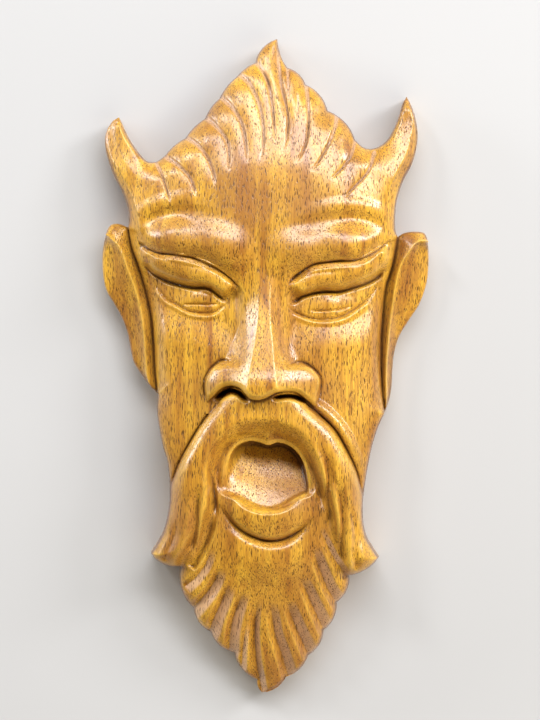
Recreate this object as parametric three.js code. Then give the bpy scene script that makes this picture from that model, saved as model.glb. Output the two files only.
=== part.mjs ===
// Wall mask of a bearded, horned satyr, carved by hand from one board of hardwood.
// Millimetres. The flat back lies at z = 0, +Z comes out of the face, +Y points to the tip of the crest.
import * as THREE from 'three';

// Main sizes of the mask
const BROW_DROP = 2.7;          // how far the eye sockets fall below the brow
const LID_RISE = 3.4;           // height of the crisp edge of the upper lids
const LOCK_CUT = 0.9;           // depth of the crisp cuts between locks of the crest
const LOCK_CROWN = 0.45;        // how far each lock of the crest is rounded over
const BEARD_CUT = 2.6;          // depth of the cuts between locks of the beard
const BEARD_CROWN = 0.5;        // how far each lock of the beard is rounded over
const WING_SHARE = 0.42;        // height of the nose wings as a share of the nose
const LIP_BEVEL = 2;            // how far the lips are bevelled in to the mouth
const EAR_OUTER_EDGE = 7.5;     // height of the ears at their outer edge
const EAR_GROOVE = 8.6;         // height of the ears at the head
const BACK_EASE = 1.2;          // rounding of the back edge
const WALL_TAPER = 0.5;         // how much the board narrows from its front edge to the back
const HALF_HEAD = 36;           // half the width of the head at the cheeks

// Spacing of the facets
const FINE = 1.4;
const MIDDLE_SPACING = 2.1;
const COARSE = 2.5;
const ALONG_CUTS = 1.6;
const EDGE_STEP = 1.9;

// Points along a smooth curve through the given points.
function curve(points, steps = 6, closed = false) {
  const count = points.length;
  const first = points[0];
  const last = points[count - 1];
  const before = closed ? last : [2 * first[0] - points[1][0], 2 * first[1] - points[1][1]];
  const after = closed
    ? [first, points[1]]
    : [[2 * last[0] - points[count - 2][0], 2 * last[1] - points[count - 2][1]]];
  const p = [before, ...points, ...after];
  const out = [];
  for (let i = 1; i < p.length - 2; i += 1) {
    for (let k = 0; k < steps; k += 1) {
      const t = k / steps;
      out.push([0, 1].map((n) => {
        const [a, b, c, d] = [p[i - 1][n], p[i][n], p[i + 1][n], p[i + 2][n]];
        return 0.5 * (2 * b + (c - a) * t + (2 * a - 5 * b + 4 * c - d) * t * t
          + (3 * b - a - 3 * c + d) * t * t * t);
      }));
    }
  }
  if (!closed) out.push(last);
  return out;
}

// A run of shallow arcs between corners, as left by a gouge along an edge.
function scallops(corners, bulge, steps = 6) {
  const out = [];
  for (let i = 0; i + 1 < corners.length; i += 1) {
    const [x, y] = corners[i];
    const dx = corners[i + 1][0] - x;
    const dy = corners[i + 1][1] - y;
    for (let k = 0; k < steps; k += 1) {
      const t = k / steps;
      const rise = 4 * bulge * t * (1 - t);
      out.push([x + dx * t - dy * rise, y + dy * t + dx * rise]);
    }
  }
  return out;
}

const part = (points) => curve(points).slice(0, -1);
const clamp = (t) => Math.min(1, Math.max(0, t));
const ease = (t) => clamp(t) * clamp(t) * (3 - 2 * clamp(t));
const dome = (t) => Math.sqrt(1 - (1 - clamp(t)) * (1 - clamp(t)));

// Smooth curve through [position, value] knots in rising position.
function levels(knots, at) {
  const slope = (i) => {
    const lo = Math.max(0, i - 1);
    const hi = Math.min(knots.length - 1, i + 1);
    if (lo === i || hi === i) return (knots[hi][1] - knots[lo][1]) / (knots[hi][0] - knots[lo][0]);
    const left = knots[i][0] - knots[lo][0];
    const right = knots[hi][0] - knots[i][0];
    const before = (knots[i][1] - knots[lo][1]) / left;
    const after = (knots[hi][1] - knots[i][1]) / right;
    return (before * right + after * left) / (left + right);
  };
  let i = 0;
  while (i < knots.length - 2 && at > knots[i + 1][0]) i += 1;
  const width = knots[i + 1][0] - knots[i][0];
  const t = clamp((at - knots[i][0]) / width);
  const back = 1 - t;
  return knots[i][1] * (1 + 2 * t) * back * back + slope(i) * width * t * back * back
    + knots[i + 1][1] * t * t * (3 - 2 * t) - slope(i + 1) * width * t * t * back;
}

// Signed distance to a line (+ on its left) and how far along it the nearest point lies, 0 to 1.
function nearest(line, x, y) {
  let best = Infinity;
  let side = 1;
  let at = 0;
  let run = 0;
  for (let i = 0; i + 1 < line.length; i += 1) {
    const [ax, ay] = line[i];
    const dx = line[i + 1][0] - ax;
    const dy = line[i + 1][1] - ay;
    const length = Math.max(Math.hypot(dx, dy), 1e-9);
    const u = clamp(((x - ax) * dx + (y - ay) * dy) / (length * length));
    const gap = Math.hypot(x - ax - u * dx, y - ay - u * dy);
    if (gap < best) {
      best = gap;
      side = dx * (y - ay) - dy * (x - ax) >= 0 ? 1 : -1;
      at = run + u * length;
    }
    run += length;
  }
  return [best * side, at / run];
}

function isInside(loop, x, y) {
  let odd = false;
  for (let i = 0, j = loop.length - 1; i < loop.length; j = i, i += 1) {
    const [ax, ay] = loop[i];
    const [bx, by] = loop[j];
    if ((ay > y) !== (by > y) && x < ax + (y - ay) * (bx - ax) / (by - ay)) odd = !odd;
  }
  return odd;
}

// Distance to a closed loop, + inside it.
function depthIn(loop, x, y) {
  const [gap] = nearest([...loop, loop[0]], x, y);
  return Math.abs(gap) * (isInside(loop, x, y) ? 1 : -1);
}

function boxAround(line, reach) {
  const xs = line.map((p) => p[0]);
  const ys = line.map((p) => p[1]);
  const [x0, x1] = [Math.min(...xs) - reach, Math.max(...xs) + reach];
  const [y0, y1] = [Math.min(...ys) - reach, Math.max(...ys) + reach];
  return (x, y) => x > x0 && x < x1 && y > y0 && y < y1;
}

function fade(share, fadeIn, fadeOut) {
  return (fadeIn > 0 ? ease(share / fadeIn) : 1) * (fadeOut > 0 ? ease((1 - share) / fadeOut) : 1);
}

// Points beside a line, on its left where the offset is above zero.
function beside(points, offset) {
  const line = evenly(curve(points), ALONG_CUTS);
  return line.map(([x, y], i) => {
    const before = line[Math.max(0, i - 1)];
    const after = line[Math.min(line.length - 1, i + 1)];
    const length = Math.hypot(after[0] - before[0], after[1] - before[1]);
    return [x - (after[1] - before[1]) / length * offset, y + (after[0] - before[0]) / length * offset];
  });
}

// Strokes of the tools: each takes a height and returns the new one. Left and right are widths on
// either hand of a line. The facets follow these lines and the edges of the crisp cuts.
const toolLines = [];
const toolEdges = [];
const NARROW_FACET = 1.2;
const addEdges = (points, left, right) => toolEdges.push(
  ...beside(points, Math.max(left, NARROW_FACET)), ...beside(points, -Math.max(right, NARROW_FACET)),
);

function along(points, left, right, fadeIn, fadeOut, change) {
  const line = curve(points);
  toolLines.push(points);
  const isNear = boxAround(line, Math.max(left, right));
  return (x, y, z) => {
    if (!isNear(x, y)) return z;
    const [gap, share] = nearest(line, x, y);
    return z + change(gap, share) * fade(share, fadeIn, fadeOut);
  };
}

// V cut with rounded shoulders.
function cut(points, depth, left, right, fadeIn = 0, fadeOut = 0.3) {
  return along(points, left, right, fadeIn, fadeOut,
    (gap) => -depth * clamp(1 - Math.abs(gap) / (gap >= 0 ? left : right)) ** 2);
}

// Slicing cut with two straight faces that meet in a line.
function partStrands(points, depth, left, right, fadeIn = 0.3, fadeOut = 0.15) {
  addEdges(points, left, right);
  return along(points, left, right, fadeIn, fadeOut,
    (gap) => -depth * clamp(1 - Math.abs(gap) / (gap >= 0 ? left : right)) ** 1.15);
}

// Cut with a crisp edge on either hand, narrower at its end; beyond it the wood is rounded over.
function gouge(points, depth, left, right, crown = 0, shoulder = 3, fadeIn = 0, fadeOut = 0.25) {
  addEdges(points, left, right);
  const reach = Math.max(left, right) + shoulder;
  return along(points, reach, reach, fadeIn, fadeOut, (gap, share) => {
    const wide = (gap >= 0 ? left : right) * (1 - 0.55 * share);
    const bed = clamp(1 - Math.abs(gap) / wide);
    const fall = clamp(1 - (Math.abs(gap) - wide) / shoulder) ** 2;
    return -(depth * bed * (1.6 - 0.6 * bed) + crown * fall);
  });
}

// Rounded ridge left standing along a curve, or a rounded furrow where rise is below zero.
function roll(points, rise, left, right, fadeIn = 0.3, fadeOut = 0.3, power = 1.5) {
  return along(points, left, right, fadeIn, fadeOut,
    (gap) => rise * clamp(1 - (gap / (gap >= 0 ? left : right)) ** 2) ** power);
}

// Crisp edge along a curve: a straight slope on its left, a full round on its right.
function crispRoll(points, rise, steep, full, fadeIn = 0.12, fadeOut = 0.12) {
  return along(points, steep, full, fadeIn, fadeOut, (gap, share) => {
    const narrowing = 1 - 0.45 * (2 * share - 1) ** 2;
    if (gap >= 0) return rise * clamp(1 - gap / (steep * narrowing));
    return rise * clamp(1 - (gap / (full * narrowing)) ** 2);
  });
}

// Crisp ridge along a curve with a hollow slope on either hand.
function arris(points, rise, left, right, fadeIn = 0.1, fadeOut = 0.3) {
  return along(points, left, right, fadeIn, fadeOut,
    (gap) => rise * clamp(1 - Math.abs(gap) / (gap >= 0 ? left : right)) ** 1.6);
}

// Smooth oval swelling; turn is in degrees.
function mound(cx, cy, long, short, turn, rise, power = 2) {
  const [c, s] = [Math.cos(turn * Math.PI / 180), Math.sin(turn * Math.PI / 180)];
  return (x, y, z) => {
    const u = ((x - cx) * c + (y - cy) * s) / long;
    const v = ((y - cy) * c - (x - cx) * s) / short;
    return z + rise * clamp(1 - u * u - v * v) ** power;
  };
}

// A drop just below a crease under the brow, which is turned under towards it; the surface comes
// back to the face below the eye.
const BROW_TURN = 1.5;
const BROW_TURN_WIDTH = 5.5;
const BROW_EDGE = 0.5;
function browStep(points, drop, fall, hold, back) {
  const line = curve(points);
  toolLines.push(points.map(([x, y]) => [x, y - fall]));
  toolEdges.push(...beside(points, BROW_EDGE));
  const [lo, hi] = [line[0][0], line[line.length - 1][0]];
  return (x, y, z) => {
    if (x <= lo || x >= hi) return z;
    let i = 0;
    while (i < line.length - 2 && x > line[i + 1][0]) i += 1;
    const t = (x - line[i][0]) / (line[i + 1][0] - line[i][0]);
    const below = line[i][1] + (line[i + 1][1] - line[i][1]) * t - y;
    const step = ease(below / fall) * (1 - ease((below - hold) / (back - hold)));
    const turned = BROW_TURN * clamp(1 + below / BROW_TURN_WIDTH) ** 2 * (1 - ease((below - fall) / hold));
    return z - (drop * step + turned) * fade((x - lo) / (hi - lo), 0.14, 0.14);
  };
}

const apply = (strokes, x, y, z) => strokes.reduce((height, stroke) => stroke(x, y, height), z);

// Outline, counter-clockwise from the tip of the crest
const TIP_LEFT = [[4, 110], [1.5, 109], [-1, 107], [-2.7, 104.5], [-3.5, 102]];
const CREST_LEFT = [[-3.5, 102], [-10, 97], [-15.5, 90], [-20.5, 83], [-27, 76.5], [-33.5, 71]];
const HORN_LEFT = [
  [-33.5, 71], [-35.5, 69.3], [-37.7, 68.5], [-40, 69], [-42.8, 72], [-45.8, 76.5], [-48, 81], [-49.3, 83.7],
  [-51.3, 82.5], [-53, 80], [-54, 76.8], [-53.8, 72.8], [-52.6, 68], [-50.8, 63.4], [-48.8, 59.6],
  [-47.1, 55.6], [-46.1, 51.3], [-46.1, 46.6],
];
const EAR_LEFT = [
  [-46.1, 46.6], [-49.5, 47.8], [-52.1, 47.4], [-53.7, 44.6], [-54.7, 40], [-55, 34.9], [-54.6, 29.5],
  [-53.5, 25.1], [-51.1, 21.1], [-48.5, 16.4], [-46.5, 11], [-45.4, 5.4], [-44.4, 1.3], [-41.8, -3],
  [-38.7, -7], [-36.2, -9.4],
];
const CHEEK_LEFT = [
  [-36.2, -9.4], [-36.5, -14], [-36.2, -18.5], [-34.6, -26.8], [-33, -32.2], [-32.4, -37.6], [-32.2, -43.3],
  [-32.7, -48.3], [-34.2, -54.7], [-36.6, -59.4], [-38.6, -62.4],
];
const WHISKER_LEFT = [[-38.6, -62.4], [-37.1, -64.7], [-34.4, -66.4], [-31.7, -67.2], [-28.8, -67.4]];
const BEARD_LEFT = [
  [-28.8, -67.4], [-24.3, -81.5], [-18.6, -89.5], [-10.6, -96.6], [-2.9, -105.7], [-1.2, -110],
];
const BEARD_RIGHT = [[-1.2, -110], [6.9, -104.6], [14.4, -97.3], [19.6, -88.9], [24, -79.5], [28.3, -70.4]];
const WHISKER_RIGHT = [[28.3, -70.4], [31, -69.6], [33.7, -68.3], [36.4, -66.2], [38.2, -63.9]];
const CHEEK_RIGHT = [
  [38.2, -63.9], [36.1, -60.7], [34, -57], [32.9, -52.3], [32.7, -47.6], [33.2, -41.6], [34.4, -33.9],
  [35.9, -26.8], [37.7, -21.1], [39.9, -16.1],
];
const EAR_RIGHT = [
  [39.9, -16.1], [41.4, -12.4], [42.4, -7.4], [42.8, -0.7], [43.4, 4.7], [45.1, 10.1], [48.1, 15.1],
  [51.8, 20.8], [54.2, 27.5], [54.9, 33.5], [54.9, 38.9], [54.5, 42.6], [53.2, 44.8], [50.1, 45.2],
  [46.8, 44.8], [44.4, 43.4],
];
const HORN_RIGHT = [
  [44.4, 43.4], [43.7, 45.6], [43.6, 50], [44.1, 55], [45.3, 59.4], [46.8, 63.1], [49, 67.2], [50.6, 72.4],
  [51.2, 77.8], [50.5, 83.2], [49.1, 87.4], [47.5, 90.6], [46.1, 88.2], [44.6, 83.3], [42.9, 79.3],
  [40.9, 76.1], [38.4, 74], [35.4, 73], [32.9, 73.5], [31.2, 74.8], [30, 76.3],
];
const CREST_RIGHT = [[30, 76.3], [21, 85.7], [13.6, 94.6], [7.4, 100.3]];
const TIP_RIGHT = [[7.4, 100.3], [5.9, 102.6], [4.9, 105.2], [4.3, 107.7], [4, 110]];
// Where the ears meet the side of the head
const EAR_GROOVE_LEFT = [
  [-46.1, 46.6], [-44.8, 39.6], [-42.6, 33.5], [-40.1, 25], [-38.3, 16.4], [-37.5, 7.9], [-37.1, -0.7],
  [-36.2, -9.4],
];
const EAR_GROOVE_RIGHT = [
  [39.9, -16.1], [38.9, -5], [38.8, 7.9], [39.5, 18.6], [40.4, 26.7], [42.5, 33.5], [44.4, 43.4],
];

const CREST_BULGE_LEFT = -0.06;
const CREST_BULGE_RIGHT = -0.12;
const BEARD_BULGE = -0.13;
const topLeft = [...part(TIP_LEFT), ...scallops(CREST_LEFT, CREST_BULGE_LEFT), ...part(HORN_LEFT)];
const lower = [
  ...part(CHEEK_LEFT), ...part(WHISKER_LEFT), ...scallops(BEARD_LEFT, BEARD_BULGE),
  ...scallops(BEARD_RIGHT, BEARD_BULGE), ...part(WHISKER_RIGHT), ...part(CHEEK_RIGHT),
];
const topRight = [...part(HORN_RIGHT), ...scallops(CREST_RIGHT, CREST_BULGE_RIGHT), ...part(TIP_RIGHT)];
const OUTLINE = [...topLeft, ...part(EAR_LEFT), ...lower, ...part(EAR_RIGHT), ...topRight];
const HEAD = [...topLeft, ...part(EAR_GROOVE_LEFT), ...lower, ...part(EAR_GROOVE_RIGHT), ...topRight];

// The head as a rounded block: [y, size] from chin to crest
const MIDLINE = [
  [-110, 9], [-95, 14], [-80, 17.5], [-60, 21.5], [-40, 22.5], [0, 23], [22, 24], [35, 25], [45, 25.5],
  [55, 25], [65, 24], [80, 20.5], [95, 16.5], [110, 12],
];
const RIM = [
  [-110, 6.5], [-80, 7.5], [-66, 8.5], [-50, 10.5], [-22, 10.5], [-8, 9], [40, 9], [60, 8.5], [75, 8],
  [110, 8],
];
const ROUNDING = [
  [-110, 8], [-70, 7], [-50, 7.5], [-15, 6.5], [0, 5.5], [40, 5.5], [55, 7], [70, 9], [90, 9], [110, 7],
];
const SIDE_FALL = [[-110, 2], [-70, 4], [-40, 5], [-15, 6], [0, 7], [30, 7], [55, 6], [110, 3]];

// Locks of the crest, set down a little behind the forehead
const HAIRLINE = [
  [-46, 50], [-38, 53], [-30, 55], [-22, 58], [-14, 62], [-6, 64.5], [3, 66], [12, 63], [20, 58],
  [30, 54], [38, 51], [46, 48],
];
const HAIR_SETBACK = [[-46, 0.8], [-30, 1], [-14, 0.8], [-6, 0], [12, 0], [20, 0.4], [28, 0.8], [46, 0.8]];
const HAIR_SLOPE = 12;
const LOCKS = [
  [[[-3.5, 102], [-1.2, 99], [0.7, 94.7], [2, 88.6], [2.7, 82], [3.3, 73.2]], 1, 1],
  [[[-8.7, 97.8], [-5, 93.8], [-2.1, 87.2], [-0.7, 80], [-0.7, 72], [-2.5, 66.1]], 0.9, 1.3],
  [[[-14.9, 90.2], [-10.9, 85.8], [-7.9, 80.7], [-6.5, 74.2], [-5.8, 66.1]], 0.9, 1.2],
  [[[-20.3, 83.6], [-16, 79.3], [-12.3, 73.4], [-11.9, 63.3]], 0.9, 1.2],
  [[[-26.9, 76.7], [-22.5, 73.4], [-19.2, 69.1], [-17, 63.3], [-16.5, 58.2]], 0.9, 1.1],
  [[[-33, 69.8], [-28.3, 66.1], [-24.7, 61.8], [-22.5, 55.2]], 0.9, 1.1],
  [[[-36.3, 67.6], [-33.8, 61.8], [-31.2, 53.4]], 0.7, 0.8],
  [[[13.6, 94.6], [14.1, 89.2], [14.4, 80.8], [13.6, 74.1], [11.6, 69.4], [9.2, 66]], 0.7, 0.9],
  [[[24, 83.9], [23.2, 79], [20.6, 72.6], [17.4, 67.1], [14.6, 63.9]], 0.7, 1],
  [[[30.2, 76.3], [28.4, 69.8], [24.8, 64.7], [21.1, 61.4]], 0.7, 0.9],
  [[[36.4, 71.2], [34.2, 64.7], [29.8, 59.6], [25.9, 55.6]], 0.7, 0.9],
];
const HAIR = [
  ...LOCKS.map(([points, left, right]) => gouge(points, LOCK_CUT, left, right, LOCK_CROWN)),
  gouge([[3.9, 109.8], [4.3, 106.3], [4.6, 99], [5.5, 92.2], [7.1, 85.5], [7.6, 80.6], [6.8, 74.2],
    [5.2, 69.4]], 0.8, 0.7, 0.9, 0.8, 2.2, 0.2),
  gouge([[7.4, 100.3], [7.5, 93.5], [8, 85.4]], 0.5, 0.6, 0.6, 0.5, 2, 0, 0.6),
];

// Straight lines between knots, and level beyond the first and last.
function between(knots, at) {
  let i = 0;
  while (i < knots.length - 2 && at > knots[i + 1][0]) i += 1;
  const t = clamp((at - knots[i][0]) / (knots[i + 1][0] - knots[i][0]));
  return knots[i][1] + (knots[i + 1][1] - knots[i][1]) * t;
}

function hairHeight(x, y, z) {
  const setback = between(HAIR_SETBACK, x) * ease((y - between(HAIRLINE, x)) / HAIR_SLOPE);
  return apply(HAIR, x, y, z - setback);
}

// Forehead: swellings over each eye, and a valley and a low ridge above them
const FOREHEAD = [
  mound(-27, 39, 21, 14, -8, 2.4, 2.4),
  mound(-31.5, 39.4, 12, 9.5, -8, 2.8, 1.9),
  mound(-13.5, 39.5, 13, 10, -25, 2.2, 2.2),
  mound(25, 37.5, 21, 14, 8, 2.4, 2.4),
  mound(28.5, 35.9, 12, 9.5, 8, 2.8, 1.9),
  mound(8.5, 38, 12, 9.5, 25, 2, 2.2),
  roll([[-42, 43.5], [-39.5, 46.8], [-34.5, 49.2], [-28, 50.6], [-21, 50.4], [-14, 48.4]],
    -1.2, 5, 4.4, 0.25, 0.5, 2.4),
  roll([[-44, 49], [-40, 52], [-34, 54.4], [-27, 55.6], [-20, 55]], 0.6, 3.4, 3.4, 0.3, 0.5, 2),
  roll([[40.5, 42], [38, 45.6], [33, 47.8], [26, 48.5], [18, 47.6], [11, 46], [4, 43.6]],
    -1.2, 4.4, 5, 0.25, 0.5, 2.4),
  roll([[42.5, 47], [38, 51], [32, 53], [25, 53.2], [17, 51.6], [10, 49]], 0.6, 3.4, 3.4, 0.3, 0.5, 2),
];

// Each eye: the crease under the brow, the rolled upper lid, the lash line, the eyeball, the lower lid
const EYE_LEFT = [
  browStep([[-44, 43], [-41.5, 41.5], [-38.8, 39.5], [-35.4, 38.1], [-31.3, 37.6], [-27.1, 36.9],
    [-24.3, 36.5], [-20.1, 34.8], [-16, 32.8], [-11.8, 29.8], [-8.2, 25.9], [-6, 22]],
  BROW_DROP, 0.8, 14, 30),
  crispRoll([[-42.5, 40], [-38.8, 37.2], [-35, 35.5], [-31.3, 35], [-27.1, 34.4], [-21, 32.7], [-16, 30.2],
    [-12, 27.4], [-8.8, 23.8]], LID_RISE, 2.2, 8),
  cut([[-42, 35], [-39.6, 32.5], [-36.8, 30.1], [-32.6, 28.1], [-28.2, 26.7], [-24.3, 25.9], [-19.3, 25.6],
    [-16, 23.6], [-12.5, 20.5]], 2, 2.6, 1.2, 0.12, 0.15),
  mound(-23, 21.6, 9.5, 4, 8, 0.5, 1.5),
  cut([[-37.5, 28.5], [-35.4, 25.1], [-33.2, 22.3], [-29.9, 20.6], [-26, 18.4], [-21.5, 17.5],
    [-17.3, 17.8], [-14.6, 19.5], [-12.5, 20.7]], 0.9, 1.2, 1.2, 0.12, 0.1),
];
const EYE_RIGHT = [
  browStep([[5.5, 22], [7.3, 26.6], [8.5, 29.1], [11.4, 31.5], [15.7, 34.1], [20.1, 34.9], [24.4, 35.4],
    [28.7, 35.5], [33, 36.7], [37.4, 39.2], [40, 41.5], [42.5, 43]], BROW_DROP, 0.8, 14, 30),
  crispRoll([[7.4, 23.4], [9.5, 26.6], [12, 28.8], [15.7, 31.1], [20.1, 32], [25.8, 32.3], [30.2, 33],
    [34.5, 34.9], [38, 37.5], [41.5, 40.4]], LID_RISE, 2.6, 7.6),
  cut([[6.8, 21], [9.9, 21.3], [12, 22.8], [15.7, 23.9], [20.1, 24.5], [24.4, 24.5], [28.7, 25.7],
    [33, 27.1], [37.4, 29.4], [40.5, 33]], 2, 2.6, 1.2, 0.12, 0.12),
  mound(22.5, 19.8, 10.5, 4, 3, 0.5, 1.5),
  cut([[6.8, 20.5], [7.9, 19], [11.4, 17], [16, 15.6], [21.5, 15.6], [25.8, 16.7], [30.2, 19.3],
    [34.5, 22.8], [38, 28]], 0.9, 1.2, 1.2, 0.12, 0.1),
];

// Nose: a flat front between two ridges, sides sweeping out in a cove to low rounded wings
const NOSE_TOP = [
  [-12, 9.6], [-9, 10.4], [-5, 10.2], [-2, 9.2], [5, 7.2], [13, 5.2], [18, 4], [22, 3], [26, 1.6],
  [30, 0.6], [36, 0],
];
const NOSE_RIDGE_LEFT = [
  [-12, -6.5], [-5, -5.6], [-1.5, -5], [4.5, -4], [10.5, -2.9], [16.5, -2.2], [25, -1.8], [36, -2.5],
];
const NOSE_RIDGE_RIGHT = [[-12, 4.6], [-5, 3.4], [0, 2.9], [7.5, 2.4], [15.5, 1.6], [25, 1.6], [36, 2.5]];
const NOSE_FOOT_LEFT = [
  [-12, -19.6], [-8, -20.2], [-3, -19.6], [0, -17.2], [1.6, -14], [3, -11.6], [6, -9.8], [9.5, -8.4],
  [18, -5.4], [25, -4.6], [36, -7],
];
const NOSE_FOOT_RIGHT = [
  [-12, 17.4], [-8, 18.2], [-3, 17.8], [-0.6, 15.4], [1, 12.4], [3, 9.8], [6, 8], [10.5, 6.6],
  [19.5, 4.9], [25, 4.6], [36, 7],
];
const NOSE_EDGE = [
  [-22, -14], [-19.2, -11.5], [-17, -9.3], [-14.6, -7.1], [-11.7, -6.2], [-8.7, -6.8], [-6.9, -8.4],
  [-5, -10.4], [-2.7, -10.9], [-0.3, -10.4], [1.8, -9.3], [3.9, -8.4], [7.8, -8], [10.8, -8.7],
  [13.2, -10.4], [15, -12], [18, -15],
];
const noseLowerEdge = curve(NOSE_EDGE);
const EDGE_BEVEL = 1.3;

// Height of the nose over the face.
function noseHeight(x, y) {
  if (Math.abs(x) > 24 || y < -16 || y > 36) return 0;
  const [footLeft, footRight] = [levels(NOSE_FOOT_LEFT, y), levels(NOSE_FOOT_RIGHT, y)];
  const fromLeft = (x - footLeft) / (levels(NOSE_RIDGE_LEFT, y) - footLeft);
  const fromRight = (footRight - x) / (footRight - levels(NOSE_RIDGE_RIGHT, y));
  const side = clamp(Math.min(fromLeft, fromRight));
  const wing = ease((2.5 - y) / 4);
  const flare = WING_SHARE * dome(side / 0.38) + (1 - WING_SHARE) * side ** 2;
  const height = levels(NOSE_TOP, y) * (side ** 1.7 + wing * (flare - side ** 1.7));
  const [above] = nearest(noseLowerEdge, x, y);
  const bevel = clamp(1 - clamp(above / EDGE_BEVEL)) ** 1.5;
  return Math.max(0, height - 1.2 * bevel) * ease((above + 0.6) / 0.6);
}

// The creases over the wings, and the nostrils scooped below the edge
const NOSE_CUTS = [
  cut([[-10.3, 0.6], [-13, 1.9], [-15.8, 1.4], [-18.4, -1.6], [-20, -5], [-20.2, -8], [-19, -11.5]],
    1, 0.8, 1.2, 0.15, 0.1),
  cut([[7, -0.6], [9, 0.9], [11.8, 1.3], [15, -0.2], [17.6, -3], [18.2, -6], [16.9, -10.6]],
    1, 1.2, 0.8, 0.15, 0.1),
  cut([[-17.3, -11.4], [-14.2, -8.9], [-11.5, -7.9], [-8.8, -8.6], [-6.8, -10.4], [-5, -12]],
    8, 0.9, 2, 0.3, 0.3),
  cut([[1.8, -10.8], [4.5, -10], [8, -9.7], [11, -10.4], [13.5, -12.2]], 7, 0.9, 1.8, 0.3, 0.3),
];

// Moustache: two sweeps proud of the cheeks, hollowed towards the mouth, then parted into strands
const MOUSTACHE_OUTER = curve([
  [-43, -62], [-40, -57], [-36, -50], [-32.5, -43], [-30.7, -37.6], [-28.3, -31.4], [-24.2, -23.9],
  [-20.2, -17.7], [-16.8, -13.5], [-13, -9], [-8, -4.5], [0, -3.5], [8, -4.5], [11, -9], [13.4, -12.2],
  [18.2, -16.4], [23, -21.2], [27, -28], [30.4, -35.5], [32.3, -43], [35.5, -52], [38, -58], [42, -64],
]);
const MOUSTACHE_INNER = curve([
  [-40, -68], [-34, -70], [-28.5, -70], [-26.5, -64], [-21.5, -57], [-18.5, -51], [-16.6, -46],
  [-16.2, -40], [-15.9, -33.5], [-14.3, -28.5], [-11, -25.4], [-7, -23.2], [0, -22.4], [5.5, -23.4],
  [10.5, -26.6], [14, -32], [16.4, -38], [18.7, -43.5], [20.1, -49], [22, -55.3], [23.8, -62.6],
  [26, -69], [31, -72], [37, -70],
]);
const MOUSTACHE_LOOP = [...MOUSTACHE_OUTER, ...[...MOUSTACHE_INNER].reverse()];
const MOUSTACHE_HEIGHT = [[-75, 3.5], [-60, 4.2], [-40, 5], [-20, 4.8], [-6, 4]];
const MOUSTACHE_SLOPE = [[-75, 4], [-50, 4.5], [-35, 4.5], [-20, 6], [-6, 8]];
const MOUSTACHE_SHOULDER = 4.8;

function moustacheHeight(x, y) {
  if (y > -2 || y < -75 || !isInside(MOUSTACHE_LOOP, x, y)) return 0;
  const fromCheek = Math.abs(nearest(MOUSTACHE_OUTER, x, y)[0]);
  const fromMouth = Math.abs(nearest(MOUSTACHE_INNER, x, y)[0]);
  return levels(MOUSTACHE_HEIGHT, y) * dome(fromCheek / MOUSTACHE_SHOULDER)
    * ease(0.08 + fromMouth / levels(MOUSTACHE_SLOPE, y));
}

const MOUSTACHE_CUTS = [
  cut([[-15, -10.8], [-16.8, -13.5], [-20.2, -17.7], [-24.2, -23.9], [-28.3, -31.4], [-30.7, -37.6],
    [-32.5, -43]], 1.2, 2.4, 1.2, 0.05, 0.2),
  cut([[13.4, -12.2], [18.2, -16.4], [23, -21.2], [27, -28], [30.4, -35.5], [32.3, -43]],
    1.2, 1, 2, 0.05, 0.2),
  roll([[15, -11.5], [21, -16], [26, -22], [30, -30], [32.5, -38]], 1.8, 2.4, 2.4, 0.12, 0.5),
  partStrands([[-10.5, -24], [-14, -29], [-15.6, -33.5], [-15.8, -39.3], [-15.6, -44.5]],
    1.4, 1.6, 2.6, 0.3, 0.3),
  partStrands([[-18.9, -28.5], [-18.4, -33], [-17.6, -37.5], [-16.8, -43], [-16.4, -48], [-17, -52]],
    2, 1.1, 3, 0.4, 0.3),
  partStrands([[-22, -39], [-22.2, -45], [-22.6, -50], [-23.2, -54.5], [-24, -58], [-25.4, -62]],
    2.2, 1.4, 3.2, 0.35, 0.2),
  partStrands([[-17.4, -48], [-17.8, -53], [-19.4, -58], [-21.8, -63], [-24.6, -67.5]],
    2, 1.5, 3, 0.3, 0.05),
  partStrands([[-29, -50], [-30.2, -56.3], [-32.4, -61.5], [-34, -65]], 1.1, 2.4, 2.4, 0.4, 0.1),
  partStrands([[12.5, -28], [15, -33], [17.2, -38.5], [18.2, -43.5], [19.6, -48.5]],
    1.5, 2.2, 1.6, 0.3, 0.3),
  partStrands([[16.5, -25], [19.4, -30.5], [20.6, -36], [20.6, -42.8], [21.4, -49.5], [21.8, -55]],
    2, 3, 1.3, 0.35, 0.2),
  partStrands([[22.3, -35], [24, -41], [25, -48], [25.4, -54.3], [25, -60], [25.4, -66]],
    2, 3, 1.4, 0.35, 0.1),
  partStrands([[27.2, -44], [28.8, -50], [29.8, -56.5], [29.6, -62], [29.8, -68]],
    1.4, 2.6, 1.6, 0.4, 0.1),
];

// Mouth: a deep hollow whose floor rises to the lower lip, and the full lower lip with its crease
const MOUTH_EDGE = [
  [-13, -41], [-12.7, -36.5], [-12.4, -32.5], [-11, -28.4], [-8.6, -25.9], [-5.3, -24.8], [-2.2, -25.2],
  [0.9, -26.2], [3.8, -25.4], [6.7, -25.9], [9.6, -27.7], [12.1, -31], [13.6, -35.7], [14.2, -41.2],
  [12, -42.6], [9.6, -43.7], [5.6, -45.9], [1.6, -47], [-2, -46.6], [-6, -45.1], [-9.7, -43],
];
const mouthLoop = curve(MOUTH_EDGE, 6, true);
const MOUTH_FLOOR = [[-50, 23], [-46.5, 21.8], [-42, 19.2], [-36, 15.2], [-30, 11.6], [-25, 9.4], [-20, 9]];
const MOUTH_LEFT_RISE = [[-16, 7.5], [-12, 5.6], [-8, 3], [-4, 1], [2, 0], [10, -0.8], [16, -1.2]];
const MOUTH_WALL = 1;
const MOUTH_LEFT_WALL = 3;
const LIP_BEVEL_WIDTH = 3.2;
const LOWER_BEVEL_WIDTH = 0.6;

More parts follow.
